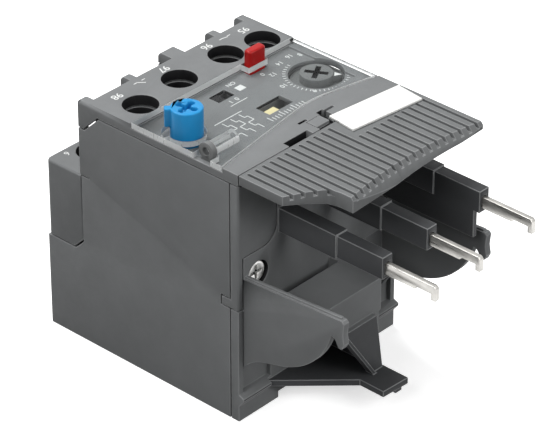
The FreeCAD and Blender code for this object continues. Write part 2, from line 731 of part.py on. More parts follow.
def window_outline(sk, side_out, inset, rear):
    """Clear cover outline: two slightly raked front edges meet in a rounded peak."""
    peak, mid = D["cover_peak"] + inset, as_size(6.0)
    outline(sk, [(-HALF - side_out, D["cover_left"] + inset), (mid - 3.4, peak), (mid + 3.4, peak),
                 (HALF + side_out, D["cover_right"] + inset), (HALF + side_out, rear),
                 (-HALF - side_out, rear)],
            {1: (D["cover_arc"], (mid, peak + 0.3))})


def top_cover():
    m = Moulding("top_cover")
    top, cap = TOP, D["cap_height"]
    sk = m.sketch("XY_Plane", SPLIT)
    rect(sk, -HALF, HALF, 0, D["strip_depth"])
    m.pad(sk, cap)
    for x0, x1, tip in ribs():
        sk = m.sketch("XY_Plane", SPLIT)
        rect(sk, x0, x1, D["strip_depth"] - 1.0, tip)
        m.pad(sk, cap)
    high = top.value
    tips = [D["rib_tip"].value, D["middle_tip"].value]
    m.dress("Fillet", as_size(1.2), lambda e: is_line(e, "x") and at(e, "z", high)
            and any(at(e, "y", tip) for tip in tips))
    # side skirts that drop over the terminal end
    for start in (-HALF, HALF - D["rib_width"]):
        sk = m.sketch("YZ_Plane", start)
        drop = D["skirt_down"] - cap
        outline(sk, [(D["skirt_start"], SPLIT), (D["skirt_start"] + drop, SPLIT - drop),
                     (D["rib_tip"], SPLIT - drop), (D["rib_tip"], SPLIT + 0.5),
                     (D["skirt_start"], SPLIT + 0.5)])
        m.pad(sk, D["rib_width"])
    # seat of the clear cover, then the sunken label panel
    sk = m.sketch("XY_Plane", top)
    window_outline(sk, 0.5, 0, D["cover_rear"])
    m.pocket(sk, D["seat_depth"])
    sk = m.sketch("XY_Plane", top)
    rect(sk, 1.4 - HALF, HALF - 1.9, 9.4, D["cover_rear"] - 0.5)
    m.pocket(sk, D["panel_depth"])
    through = cap + 0.5
    for x, y in aux_screws_at():
        sk = m.sketch("XY_Plane", top)
        circle(sk, x, y, D["access_radius"])
        m.pocket(sk, through)
    sk = m.sketch("XY_Plane", top)
    circle(sk, D["knob_across"], D["knob_along"], D["knob_radius"] + 0.25)
    m.pocket(sk, through)
    sk = m.sketch("XY_Plane", top)
    circle(sk, D["dial_across"], D["dial_along"], D["dial_well"])
    m.pocket(sk, through)
    for x, y, wide, deep in (("test_across", "test_along", "test_wide", "test_deep"),
                             ("trip_across", "trip_along", "trip_wide", "trip_deep")):
        sk = m.sketch("XY_Plane", top)
        rect(sk, D[x] - D[wide] * 0.5, D[x] + D[wide] * 0.5, D[y] - D[deep] * 0.5, D[y] + D[deep] * 0.5)
        m.pocket(sk, through)
    sk = m.sketch("XY_Plane", top)
    half_w = D["stop_width"] * 0.5 + D["slide_gap"]
    half_d = D["stop_depth"] * 0.5 + D["slide_gap"]
    rect(sk, D["stop_across"] - half_w, D["stop_across"] + half_w,
         D["stop_along"] - half_d, D["stop_along"] + half_d)
    m.pocket(sk, through)
    # socket of the seal post
    half = D["seal_thick"] * 0.5 + D["fit_gap"]
    sk = m.sketch("XY_Plane", top)
    rect(sk, seal_across() - half, seal_across() + half,
         D["seal_along"] - 1.2 - D["fit_gap"], D["seal_along"] + 1.2 + D["fit_gap"])
    m.pocket(sk, cap - 0.2)
    # hinge pin bore along the far side, stopped short of the front face
    sk = m.sketch("XZ_Plane", -(D["cover_rear"] + 1.0))
    circle(sk, HALF - D["hinge_inset"], hinge_level(), D["hinge_pin"] + D["run_gap"])
    m.pocket(sk, D["cover_rear"] + 1.0 - D["cover_right"] + 1.0, True)
    # openings of the apron clip and the slot beside it
    for x0, x1, y0, y1 in ((-1.4, 0.8, 3.9, 4.5), (5.6, 8.0, 3.6, 4.2), (3.9, 5.6, 1.6, 4.6),
                           (-8.5, -2.0, -0.5, 1.6)):
        sk = m.sketch("XY_Plane", top)
        rect(sk, x0, x1, y0, y1)
        m.pocket(sk, 1.8)
    sk = m.sketch("XY_Plane", top)
    rect(sk, clip_left() - 0.1, clip_left() + 3.7, -0.5, 3.6)
    m.pocket(sk, 1.3)
    return m.body


def seal_across():
    return D["seal_inset"] - HALF


def clip_left():
    return as_size(0.1)


def hinge_level():
    return TOP - D["seat_depth"] + 0.05 + D["hinge_radius"]


def clear_cover():
    """Sealable window, hinged along the far side, with its seal sleeve."""
    m = Moulding("clear_cover")
    floor = TOP - D["seat_depth"] + 0.05
    line = HALF - D["hinge_inset"]
    sk = m.sketch("XY_Plane", floor)
    window_outline(sk, 0.5, 0.15, D["cover_rear"] - 0.15)
    m.pad(sk, D["cover_thick"])
    # trim both sides: flush on the left, to the hinge line on the right
    for x0, x1 in ((-HALF - 2.0, 0.05 - HALF), (line, HALF + 2.0)):
        sk = m.sketch("XY_Plane", TOP + 0.5)
        rect(sk, x0, x1, 0, D["cover_rear"] + 1.0)
        m.pocket(sk, 3.0)
    # hinge barrel and its two pins
    for radius, y0, y1 in ((D["hinge_radius"], D["cover_right"] + 0.6, D["cover_rear"] - 0.3),
                           (D["hinge_pin"], D["cover_right"] - 0.5, D["cover_rear"] + 0.7)):
        sk = m.sketch("XZ_Plane", -y0)
        circle(sk, line, hinge_level(), radius)
        m.pad(sk, y1 - y0, True)
    # sleeve beside the seal post
    start = seal_across() + D["seal_thick"] * 0.5 + 0.25
    along, level = D["seal_along"], TOP + D["seal_rise"]
    sk = m.sketch("YZ_Plane", start)
    circle(sk, along, level, D["seal_radius"] - 0.3)
    m.pad(sk, 6.0)
    sk = m.sketch("YZ_Plane", start + 6.5)
    circle(sk, along, level, D["seal_hole"])
    m.pocket(sk, 7.0)
    # openings for the knob with its fin, the stop button and the seal post
    high = TOP + 0.5
    x, y = D["knob_across"], D["knob_along"]
    sk = m.sketch("XY_Plane", high)
    circle(sk, x, y, D["knob_radius"] + 0.55)
    m.pocket(sk, 2.0)
    fan = [(math.cos(math.radians(a)), math.sin(math.radians(a))) for a in (30, 95, 160)]
    reach = D["fin_reach"] + 0.55
    spots = [(x + reach * c, y + reach * s) for c, s in fan]
    sk = m.sketch("XY_Plane", high)
    outline(sk, [(x, y), spots[0], spots[2]], {1: (reach, spots[1])})
    m.pocket(sk, 2.0)
    sk = m.sketch("XY_Plane", high)
    half_w, half_d = D["stop_width"] * 0.5, D["stop_depth"] * 0.5
    rect(sk, D["stop_across"] - half_w - 0.7, D["stop_across"] + half_w + 0.3,
         D["stop_along"] - half_d - 0.2, D["stop_along"] + half_d + 0.2)
    m.pocket(sk, 2.0)
    sk = m.sketch("XY_Plane", TOP + 5.0)
    rect(sk, -HALF - 1.0, start - 0.1, along - D["seal_radius"] - 0.3, along + D["seal_radius"] + 0.3)
    m.pocket(sk, 7.0)
    return m.body


def seal_post():
    """Grey ring the seal wire goes through."""
    left, along, level = seal_across() - D["seal_thick"] * 0.5, D["seal_along"], TOP + D["seal_rise"]
    ring = rod("seal_ring", D["seal_radius"], D["seal_thick"], left, along, level, "x")
    stem = box("seal_stem", left, left + D["seal_thick"], along - 1.2, along + 1.2, SPLIT + 0.25, level)
    hole = rod("seal_bore", D["seal_hole"], D["seal_thick"] + 2.0, left - 1.0, along, level, "x")
    return cut("seal_post", fuse("seal_solid", [ring, stem]), [hole])


def front_apron():
    """Grooved plate over the pins, thickest at its nose corner, scalloped in front."""
    m = Moulding("front_apron")
    reach, thick = D["apron_reach"], D["apron_thick"]
    back = -D["seam_gap"]
    nose = D["apron_corner"]
    sk = m.sketch("XY_Plane", TOP - thick)
    outline(sk, [(-HALF, back), (-HALF, -D["apron_side"]), (nose - 4.4, -D["apron_side"] - 1.8),
                 (nose - 1.6, -D["apron_side"] - 3.6), (nose, -D["apron_side"] - 7.0), (nose, -reach),
                 (HALF, -reach), (HALF, back)],
            {3: (4.9, (nose - 0.5, -D["apron_side"] - 5.1))})
    m.pad(sk, thick)
    # thin the underside toward both sides
    under = TOP - thick
    sk = m.sketch("XZ_Plane", 0)
    outline(sk, [(-HALF - 1.0, under - 0.5), (-HALF - 1.0, TOP - D["apron_left_thick"]),
                 (nose, under), (HALF + 1.0, TOP - D["apron_right_thick"]), (HALF + 1.0, under - 0.5)])
    m.pocket(sk, reach + 1.0, True)
    # scallop: a widening cone leans the front face back from its lower edge
    ring = m.body.newObject("PartDesign::SubtractiveCone", "front_apron_scallop")
    ring.AttachmentSupport = [(m.origin("XY_Plane"), "")]
    ring.MapMode = "FlatFace"
    bind(ring, "Radius1", D["bow_radius"])
    bind(ring, "Radius2", D["bow_radius"] + D["bow_depth"] + 0.4)
    bind(ring, "Height", thick + 0.2)
    bind_base(ring, (HALF + nose) * 0.5, -reach - D["bow_radius"], TOP - thick + 0.3, "AttachmentOffset")
    m.body.Tip = ring
    grooves(m)
    return m.body


def grooves(m):
    """Grip grooves; under the label they stop short of its front edge."""
    top, pitch, wide = TOP, D["groove_pitch"], D["groove_width"]
    start = -HALF + 1.3
    for first, count, back in ((0, 12, as_size(-1.0)), (12, 10, as_size(-6.9))):
        x = start + pitch * first
        sk = m.sketch("XY_Plane", top)
        rect(sk, x, x + wide, -D["apron_reach"] - 1.0, back)
        one = m.pocket(sk, D["groove_depth"])
        m.row(one, "X_Axis", pitch * (count - 1), count)


def apron_clip():
    """Snap tab in the middle of the front strip that holds the apron."""
    left, top = clip_left(), TOP
    head = box("clip_head", left, left + 3.5, -D["seam_gap"] + 0.1, 3.5, top - 1.25, top)
    notch = box("clip_notch", left - 1.0, left + 4.5, -1.0, 0.9, top - 0.6, top + 1.0)
    return cut("apron_clip", head, [notch])


def marker_label():
    """White write-on label bridging the apron and the front strip."""
    plate = DOC.addObject("Part::Box", "marker_plate")
    plate.Placement = Placement(Vector(), Rotation(Vector(0, 0, 1), -6.6))
    bind(plate, "Length", 17.6)
    bind(plate, "Width", 6.7)
    bind(plate, "Height", 0.5)
    bind_base(plate, 3.3, -5.2, TOP + 0.02)
    bite = box("marker_bite", 1.0, 3.9, -1.3, 3.0, TOP - 1.0, TOP + 2.0)
    return cut("marker_label", plate, [bite])


# ---------------------------------------------------------------- controls

def cross_slot(name, x, y, top, arm, wide, depth, turn=0.0):
    """Two crossing bars that cut a screwdriver cross."""
    bars = []
    for i, angle in enumerate((turn, turn + 90.0)):
        bar = DOC.addObject("Part::Box", "%s_bar_%d" % (name, i))
        bind(bar, "Length", arm * 2)
        bind(bar, "Width", wide)
        bind(bar, "Height", as_size(depth) + 1.0)
        spin = Rotation(Vector(0, 0, 1), angle)
        corner = spin.multVec(Vector(-arm, -wide * 0.5, 0))
        bar.Placement = Placement(Vector(), spin)
        bind_base(bar, as_size(x) + corner.x, as_size(y) + corner.y, as_size(top) - depth)
        bars.append(bar)
    return bars


def flared_cross(name, x, y, top, arm, wide, depth, turn):
    """Cross slot whose four arms widen toward their ends."""
    tools = cross_slot(name, x, y, top, arm - 0.3, wide, depth, turn)
    for i in range(4):
        angle = math.radians(turn + 90.0 * i)
        tools.append(rod("%s_flare_%d" % (name, i), wide * 0.72, as_size(depth) + 1.0,
                         x + (arm - 0.65) * math.cos(angle), y + (arm - 0.65) * math.sin(angle),
                         as_size(top) - depth))
    return tools


def reset_knob():
    x, y, top, low = D["knob_across"], D["knob_along"], TOP + D["knob_rise"], TOP - D["knob_sink"]
    drum = rod("knob_drum", D["knob_radius"], top - low, x, y, low)
    fin = DOC.addObject("Part::Box", "knob_fin")
    spin = Rotation(Vector(0, 0, 1), 137.0)
    corner = spin.multVec(Vector(2.0, -0.8, 0))
    fin.Placement = Placement(Vector(), spin)
    bind(fin, "Length", D["fin_reach"] - 2.0)
    bind(fin, "Width", 1.6)
    bind(fin, "Height", D["knob_rise"] - D["fin_clear"])
    bind_base(fin, x + corner.x, y + corner.y, TOP + D["fin_clear"])
    solid = fuse("knob_solid", [drum, fin])
    bore = rod("knob_bore", D["stem_radius"] + D["run_gap"], D["knob_sink"] + 4.25, x, y, low - 1.0)
    return cut("reset_knob", solid, [bore] + flared_cross("knob", x, y, top, 2.3, 0.9, 1.35, 12.0))


def reset_plunger():
    """Plunger with the flange that the top cover holds down."""
    x, y = D["knob_across"], D["knob_along"]
    stem = rod("plunger_stem", D["stem_radius"], 13.8, x, y, TOP - 10.8)
    flange = rod("plunger_flange", 4.1, 1.0, x, y, TOP - 3.5)
    return fuse("reset_plunger", [stem, flange])


def coil(name, radius, wire, low, high, turns, x, y):
    """Compression spring swept along a helix."""
    m = Moulding(name)
    sk = m.sketch("XZ_Plane", 0)
    rect(sk, radius - wire, radius + wire, low - wire, low + wire)
    spring = m.body.newObject("PartDesign::AdditiveHelix", name + "_wind")
    spring.Profile = sk
    spring.ReferenceAxis = (sk, ["V_Axis"])
    spring.Mode = "height-turns-angle"
    bind(spring, "Height", high - low)
    spring.Turns = turns
    sk.Visibility = False
    m.body.Tip = spring
    return m.body, x, y


def stop_button():
    x, y = D["stop_across"], D["stop_along"]
    half_w, half_d = D["stop_width"] * 0.5, D["stop_depth"] * 0.5
    m = Moulding("stop_button")
    sk = m.sketch("XY_Plane", TOP - 6.0)
    rect(sk, x - half_w, x + half_w, y - half_d, y + half_d)
    m.pad(sk, D["stop_rise"] + 6.0)
    high = (TOP + D["stop_rise"]).value
    m.dress("Fillet", as_size(0.45), lambda e: at(e, "z", high))
    sk = m.sketch("XY_Plane", TOP - 3.6)
    rect(sk, x - half_w - 1.0, x + half_w + 0.4, y - half_d - 0.4, y + half_d + 0.4)
    m.pad(sk, 1.1)
    return m.body


def test_slide():
    x, y = D["test_across"], D["test_along"]
    nub = box("test_nub", x - D["test_wide"] * 0.5 + 0.4, x - D["test_wide"] * 0.5 + 2.2,
              y - D["test_deep"] * 0.5 + 0.15, y + D["test_deep"] * 0.5 - 0.15, TOP - 4.0, TOP - 1.8)
    sole = box("test_sole", x - D["test_wide"] * 0.5 - 0.9, x - D["test_wide"] * 0.5 + 3.7,
               y - D["test_deep"] * 0.5 - 0.25, y + D["test_deep"] * 0.5 + 0.25, TOP - 4.5, TOP - 3.2)
    return fuse("test_slide", [nub, sole])


def trip_flag():
    x, y = D["trip_across"], D["trip_along"]
    left = x - D["trip_wide"] * 0.5 + 0.6
    tab = box("flag_tab", left, left + D["flag_wide"], y - D["trip_deep"] * 0.5 + 0.5,
              y - D["trip_deep"] * 0.5 + 2.2, TOP - 5.0, TOP - 2.1)
    sole = box("flag_sole", left - 1.6, left + D["flag_wide"] + 1.6, y - D["trip_deep"] * 0.5 - 0.25,
               y + D["trip_deep"] * 0.5 + 0.25, TOP - 5.5, TOP - 4.4)
    return fuse("trip_flag", [tab, sole])


def setting_dial():
    """Dial disc with raised boss, pointer and cross slot."""
    x, y = D["dial_across"], D["dial_along"]
    disc = rod("dial_disc", D["dial_well"] - 0.3, 0.9, x, y, TOP - 3.7)
    boss = rod("dial_boss", D["dial_boss"], 2.65, x, y, TOP - 3.7)
    shaft = rod("dial_shaft", D["dial_shaft"], 7.3, x, y, TOP - 10.8)
    arrow = DOC.addObject("Part::Wedge", "dial_arrow")
    for prop, value in (("Xmin", -2.6), ("Xmax", 2.6), ("X2min", -0.05), ("X2max", 0.05), ("Ymin", 0.0),
                        ("Ymax", 5.0), ("Zmin", 0.0), ("Zmax", 1.6), ("Z2min", 0.0), ("Z2max", 1.6)):
        setattr(arrow, prop, value)
    arrow.Placement = Placement(Vector(x.value, y.value, 0), Rotation(Vector(0, 0, 1), 220.0))
    bind_base(arrow, x, y, TOP - 3.0)
    solid = fuse("dial_solid", [disc, boss, shaft, arrow])
    return cut("setting_dial", solid, cross_slot("dial", x, y, TOP - 1.05, 2.3, 1.0, 1.2, 30.0))


# ---------------------------------------------------------------- electrical

def line_pin(label, spot, lift):
    """Flat pin with a hooked end; its root sits in the housing."""
    m = Moulding("pin_" + label)
    low, high = D["pin_low"] + lift, D["pin_high"] + lift
    tip = -D["pin_reach"]
    sk = m.sketch("YZ_Plane", spot - D["pin_thick"] * 0.5)
    outline(sk, [(D["pin_root"], low), (D["pin_root"], high), (tip + 0.5, high), (tip, high - 0.5),
                 (tip, low - 0.7), (tip + 1.1, low - 0.7), (tip + 1.1, low + 0.6),
                 (tip + 4.8, low + 0.6), (tip + 4.8, low)])
    m.pad(sk, D["pin_thick"])
    return m.body


def screw(name, x, y, z, head_r, head_t, shank_r, length, axis="z", slot=True):
    """Pan screw: head above z, shank below it."""
    top = as_size(z) + head_t
    head = rod(name + "_head", head_r, head_t, x, y, z)
    shank = rod(name + "_shank", shank_r, length, x, y, as_size(z) - length)
    return cut(name, fuse(name + "_solid", [head, shank]),
               cross_slot(name, x, y, top, head_r * 0.62, head_r * 0.24, head_t * 0.55, 25.0))


def aux_terminal_parts():
    """Screws, clamp plates and contact bars of the four auxiliary terminals."""
    screws, plates, bars = [], [], []
    floor = TOP - D["aux_floor_down"]
    bar_top = floor + 1.15
    for i, (x, y) in enumerate(aux_screws_at()):
        half = D["aux_entry"] * 0.5 - 0.2
        # the first screw stands backed out, the others are run down
        lift = as_size(4.2 if i == 0 else 0.0)
        bars.append(box("aux_bar_%d" % i, x - half, x + half, y - 2.9, y + 5.0, floor + 0.1, bar_top))
        plate = box("aux_plate_%d" % i, x - half, x + half, y - 2.5, y + 3.6, bar_top + 2.4, bar_top + 3.3)
        eye = rod("aux_eye_%d" % i, 1.45, 3.0, x, y, bar_top + 1.5)
        plates.append(cut("aux_clamp_%d" % i, plate, [eye]))
        screws.append(screw("aux_screw_%d" % i, x, y, bar_top + 3.35 + lift, 2.5, 1.9, 1.35, 3.3 + lift))
    return [group("aux_screws", screws), group("aux_clamps", plates), group("aux_bars", bars)]


def main_terminal_parts():
    """Screws, cages and load bars of the three load terminals."""
    screws, cages, bars = [], [], []
    floor, entry = D["base_height"] + D["main_floor_up"], D["main_entry"]
    y = D["main_line"]
    for i, x in enumerate(main_screws_at()):
        half = entry * 0.5 - 0.3
        back = D["upper_depth"] + D["seam_gap"] + 1.0
        outer = box("cage_outer_%d" % i, x - half, x + half, back, D["base_depth"] - 1.2,
                    floor + 0.15, floor + entry - 0.2)
        inner = box("cage_inner_%d" % i, x - half + 1.0, x + half - 1.0, back - 1.0, D["base_depth"],
                    floor + 1.0, floor + entry - 1.9)
        eye = rod("cage_eye_%d" % i, 2.1, 4.0, x, y, floor + entry - 3.0)
        cages.append(cut("cage_%d" % i, outer, [inner, eye]))
        bars.append(box("load_bar_%d" % i, x - half + 1.5, x + half - 1.5, back + 0.1,
                        D["base_depth"] - 1.6, floor + 5.5, floor + 6.6))
        screws.append(screw("main_screw_%d" % i, x, y, floor + entry - 0.15, 3.1, 2.2, 2.0, 2.3))
    return [group("main_screws", screws), group("main_cages", cages), group("load_bars", bars)]


def housing_screws():
    """Two screws in the wall recesses, heads toward the contactor."""
    made = []
    for i, side in enumerate((-1.0, 1.0)):
        x = D["screw_across"] * side
        face = D["wall_thick"] - 1.35
        head = rod("wall_head_%d" % i, 2.3, 0.9, x, face, D["screw_level"], "y")
        shank = rod("wall_shank_%d" % i, 1.2, 9.0, x, face, D["screw_level"], "y")
        bars = []
        for j, (wide, tall) in enumerate(((3.0, 0.6), (0.6, 3.0))):
            bars.append(box("wall_slot_%d_%d" % (i, j), x - wide * 0.5, x + wide * 0.5, -1.0, face + 0.5,
                            D["screw_level"] - tall * 0.5, D["screw_level"] + tall * 0.5))
        made.append(cut("wall_screw_%d" % i, fuse("wall_body_%d" % i, [head, shank]), bars))
    return group("housing_screws", made)


def build():
    """Make every piece and set it in the common frame."""
    whole = [main_housing(), terminal_block(), coupling_cover(), corner_panel(), top_cover(),
             clear_cover(), seal_post(), front_apron(), apron_clip(), marker_label(), reset_knob(),
             reset_plunger(), stop_button(), test_slide(), trip_flag(), setting_dial()]
    whole += [line_pin(label, spot, lift) for label, spot, lift in pin_spots()]
    whole += aux_terminal_parts() + main_terminal_parts() + [housing_screws()]
    for piece in whole:
        piece.Label = piece.Name
        bind_base(piece, 0, SHIFT, 0)
    springs = [coil("reset_spring", as_size(3.0), 0.25, TOP - 6.7, TOP - 3.8, 4,
                    D["knob_across"], D["knob_along"]),
               coil("stop_spring", as_size(0.7), 0.17, TOP - 8.8, TOP - 6.2, 5,
                    D["stop_across"], D["stop_along"])]
    for body, x, y in springs:
        body.Label = body.Name
        bind_base(body, x, y + SHIFT, 0)
        whole.append(body)
    return whole


def check_and_write(whole):
    """Refuse a broken document, then write one STEP file per piece."""
    DOC.recompute()
    for thing in DOC.Objects:
        if "Invalid" in thing.State or "Error" in thing.State:
            raise ValueError("broken object " + thing.Name)
    os.makedirs("parts", exist_ok=True)
    for piece in whole:
        if piece.Shape.isNull() or not piece.Shape.isValid():
            raise ValueError("bad shape " + piece.Name)
        piece.Shape.exportStep("parts/%s.step" % piece.Label)


check_and_write(build())
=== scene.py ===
"""Studio scene of a plug-on motor overload relay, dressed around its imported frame.

Lengths are metres in the frame's own axes: X across the module, +Z out of the
front panel, -Y toward the contactor. The frame lies on its back on the floor.
"""

import json
import logging
import math
from collections.abc import Callable, Sequence
from dataclasses import dataclass, field
from enum import Enum
from typing import Protocol

import bmesh
import bpy
import numpy as np
from mathutils import Matrix, Vector

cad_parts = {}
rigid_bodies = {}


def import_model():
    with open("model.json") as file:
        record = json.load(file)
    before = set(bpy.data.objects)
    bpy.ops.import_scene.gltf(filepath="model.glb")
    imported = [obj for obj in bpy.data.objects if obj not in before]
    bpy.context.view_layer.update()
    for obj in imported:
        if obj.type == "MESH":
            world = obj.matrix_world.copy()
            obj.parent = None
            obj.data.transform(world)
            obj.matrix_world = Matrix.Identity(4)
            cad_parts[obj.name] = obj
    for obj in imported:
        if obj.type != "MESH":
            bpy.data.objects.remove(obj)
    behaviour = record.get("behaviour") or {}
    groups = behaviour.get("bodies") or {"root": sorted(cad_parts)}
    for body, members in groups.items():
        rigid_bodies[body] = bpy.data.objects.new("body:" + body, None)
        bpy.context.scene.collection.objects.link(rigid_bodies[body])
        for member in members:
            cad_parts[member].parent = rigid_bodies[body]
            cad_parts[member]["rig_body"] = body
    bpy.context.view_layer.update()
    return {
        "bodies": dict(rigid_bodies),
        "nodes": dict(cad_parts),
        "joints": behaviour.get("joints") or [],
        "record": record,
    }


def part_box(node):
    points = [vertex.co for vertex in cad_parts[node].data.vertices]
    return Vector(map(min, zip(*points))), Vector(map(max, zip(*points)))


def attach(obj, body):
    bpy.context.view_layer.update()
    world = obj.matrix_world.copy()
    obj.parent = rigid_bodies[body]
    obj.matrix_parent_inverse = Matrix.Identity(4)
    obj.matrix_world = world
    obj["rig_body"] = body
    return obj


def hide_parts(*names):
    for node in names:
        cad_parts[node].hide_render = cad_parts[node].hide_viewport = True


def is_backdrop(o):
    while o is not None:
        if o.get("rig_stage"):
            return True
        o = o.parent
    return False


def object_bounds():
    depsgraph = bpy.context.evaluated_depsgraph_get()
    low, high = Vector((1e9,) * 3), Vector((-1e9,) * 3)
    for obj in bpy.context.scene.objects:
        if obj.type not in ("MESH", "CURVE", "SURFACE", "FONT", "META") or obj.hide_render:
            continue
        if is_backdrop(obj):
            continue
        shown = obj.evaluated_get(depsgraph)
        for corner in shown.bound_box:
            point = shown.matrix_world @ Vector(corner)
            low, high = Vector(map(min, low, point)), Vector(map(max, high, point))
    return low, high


LOG = logging.getLogger("overload_relay")
MM = 0.001
Colour = tuple[float, float, float]
Point = tuple[float, float, float]
Chooser = Callable[[np.ndarray, np.ndarray], np.ndarray]
WHITE = (1.0, 1.0, 1.0, 1.0)


# --------------------------------------------------------------------------
# Finishes
# --------------------------------------------------------------------------


class PerMetre:
    """Features per metre of each noise, from the broadest to the finest."""

    WAVES = 90.0
    MOTTLING = 140.0
    SINK = 160.0
    TARNISH = 420.0
    GLOSS = 900.0
    STREAKS = 3000.0
    DRAW_LINES = 3800.0
    GRAIN = 5200.0
    SPECKS = 6000.0


class NodeGraph:
    """Node tree of a new material or of the world, with short calls to add and join nodes."""

    def __init__(self, name: str, owner: bpy.types.ID | None = None) -> None:
        """Start an empty tree that already reads the object's own coordinates.

        Args:
            name: Name of the new material.
            owner: World whose tree is built in place of a new material's.
        """
        self.material = owner or bpy.data.materials.new(name)
        self.material.use_nodes = True
        self.tree = self.material.node_tree
        self.tree.nodes.clear()
        kind = "ShaderNodeOutputWorld" if owner else "ShaderNodeOutputMaterial"
        self.output = self.add(kind)
        self.coords = self.add("ShaderNodeTexCoord").outputs["Object"]

    def add(self, kind: str, inputs: dict[str | int, object] | None = None,
            **settings: object) -> bpy.types.Node:
        """Add a node.

        Args:
            kind: Blender's name of the node type.
            inputs: Values or output sockets, by the name or number of the input.
            **settings: Properties of the node.

        Returns:
            The new node.
        """
        node = self.tree.nodes.new(kind)
        for key, value in settings.items():
            setattr(node, key, value)
        for key, value in (inputs or {}).items():
            if isinstance(value, bpy.types.NodeSocket):
                self.tree.links.new(value, node.inputs[key])
            else:
                node.inputs[key].default_value = value
        return node

    def noise(self, scale: float, detail: float = 2.0,
              stretch: Point = (1.0, 1.0, 1.0)) -> bpy.types.NodeSocket:
        """Return a noise value over the object.

        Args:
            scale: Features per metre.
            detail: Octaves of finer noise.
            stretch: Factors the coordinates are multiplied by along X, Y and Z.

        Returns:
            The socket of the noise value, about 0 to 1.
        """
        mapped = self.add("ShaderNodeMapping", {"Vector": self.coords, "Scale": stretch})
        noise = self.add("ShaderNodeTexNoise",
                         {"Vector": mapped.outputs["Vector"], "Scale": scale, "Detail": detail})
        return noise.outputs["Fac"]

    def spread(self, value: bpy.types.NodeSocket, low: float, high: float,
               start: float = 0.3, stop: float = 0.7) -> bpy.types.NodeSocket:
        """Return a value mapped from start..stop to low..high, held at both ends."""
        node = self.add("ShaderNodeMapRange", {"Value": value, "From Min": start, "From Max": stop,
                                               "To Min": low, "To Max": high})
        return node.outputs["Result"]

    def tinted(self, colour: Colour, factor: bpy.types.NodeSocket) -> bpy.types.NodeSocket:
        """Return a colour whose brightness is multiplied by a value."""
        node = self.add("ShaderNodeHueSaturation", {"Color": (*colour, 1.0), "Value": factor})
        return node.outputs["Color"]

    def sees_the_room(self) -> bpy.types.NodeSocket:
        """Return 1 for a ray from the camera or one it sent by mirror or glass, else 0.

        It is the greatest of the three ray kinds, and 0 after a matt bounce.
        """
        path = self.add("ShaderNodeLightPath")
        seen = path.outputs["Is Camera Ray"]
        for name in ("Is Glossy Ray", "Is Transmission Ray"):
            seen = self.computed("MAXIMUM", seen, path.outputs[name])
        fresh = self.computed("LESS_THAN", path.outputs["Diffuse Depth"], 0.5)
        return self.computed("MULTIPLY", seen, fresh)

    def computed(self, operation: str, first: bpy.types.NodeSocket,
                 second: bpy.types.NodeSocket | float) -> bpy.types.NodeSocket:
        """Return the result of a sum on two values, by Blender's name of the operation."""
        node = self.add("ShaderNodeMath", {0: first, 1: second}, operation=operation)
        return node.outputs[0]

    def mixed(self, factor: bpy.types.NodeSocket, first: bpy.types.Node,
              second: bpy.types.Node) -> bpy.types.NodeSocket:
        """Return a shader that is the first node's at 0 and the second node's at 1."""
        node = self.add("ShaderNodeMixShader",
                        {"Fac": factor, 1: first.outputs[0], 2: second.outputs[0]})
        return node.outputs["Shader"]

    def bump(self, height: bpy.types.NodeSocket, strength: float, distance: float,
             normal: bpy.types.NodeSocket | None = None) -> bpy.types.NodeSocket:
        """Return a normal raised by a height value."""
        inputs = {"Height": height, "Strength": strength, "Distance": distance}
        if normal is not None:
            inputs["Normal"] = normal
        return self.add("ShaderNodeBump", inputs).outputs["Normal"]

    def finish(self, shader: bpy.types.NodeSocket) -> bpy.types.Material:
        """Join the last shader to the output and return the material."""
        self.tree.links.new(shader, self.output.inputs["Surface"])
        return self.material


class Finish(Protocol):
    """Anything that can make a material."""

    name: str

    def build(self) -> bpy.types.Material:
        """Make the material."""


@dataclass(frozen=True)
class MouldedPlastic:
    """Spark-eroded moulding: fine grain, a little mottling, soft gloss."""

    name: str
    colour: Colour
    roughness: float = 0.5
    grain: float = 0.25
    mottle: float = 0.05
    gloss: float = 0.5
    uneven: float = 0.06
    grain_height: float = 0.02 * MM
    sink: float = 0.08
    sink_height: float = 0.3 * MM

    def build(self) -> bpy.types.Material:
        """Make the material: mottled colour, uneven gloss, fine grain and faint sink marks."""
        g = NodeGraph(self.name)
        broad = g.spread(g.noise(PerMetre.MOTTLING, 3.0), 1.0 - self.mottle, 1.0 + self.mottle)
        rough = g.spread(g.noise(PerMetre.GLOSS, 3.0),
                         self.roughness - self.uneven, self.roughness + self.uneven)
        grain = g.bump(g.noise(PerMetre.GRAIN), self.grain, self.grain_height)
        sunk = g.bump(g.noise(PerMetre.SINK, 1.0), self.sink, self.sink_height, grain)
        shader = g.add("ShaderNodeBsdfPrincipled", {
            "Base Color": g.tinted(self.colour, broad), "Roughness": rough, "Normal": sunk,
            "Specular IOR Level": self.gloss})
        return g.finish(shader.outputs["BSDF"])


@dataclass(frozen=True)
class PlatedMetal:
    """Drawn or pressed metal: fine lines along the draw and faint stains."""

    name: str
    colour: Colour
    roughness: float = 0.28
    draw: Point = (1.0, 0.06, 1.0)
    stain: float = 0.18
    sheen: tuple[float, float] = (-0.08, 0.12)
    line_strength: float = 0.25
    line_height: float = 0.02 * MM

    def build(self) -> bpy.types.Material:
        """Make the material: stretched lines in gloss and height, cloudy tarnish."""
        g = NodeGraph(self.name)
        lines = g.noise(PerMetre.DRAW_LINES, 3.0, self.draw)
        cloud = g.spread(g.noise(PerMetre.TARNISH, 4.0), 1.0 - self.stain, 1.0, 0.35, 0.6)
        rough = g.spread(lines, *(self.roughness + change for change in self.sheen))
        shader = g.add("ShaderNodeBsdfPrincipled", {
            "Base Color": g.tinted(self.colour, cloud), "Metallic": 1.0, "Roughness": rough,
            "Normal": g.bump(lines, self.line_strength, self.line_height)})
        return g.finish(shader.outputs["BSDF"])


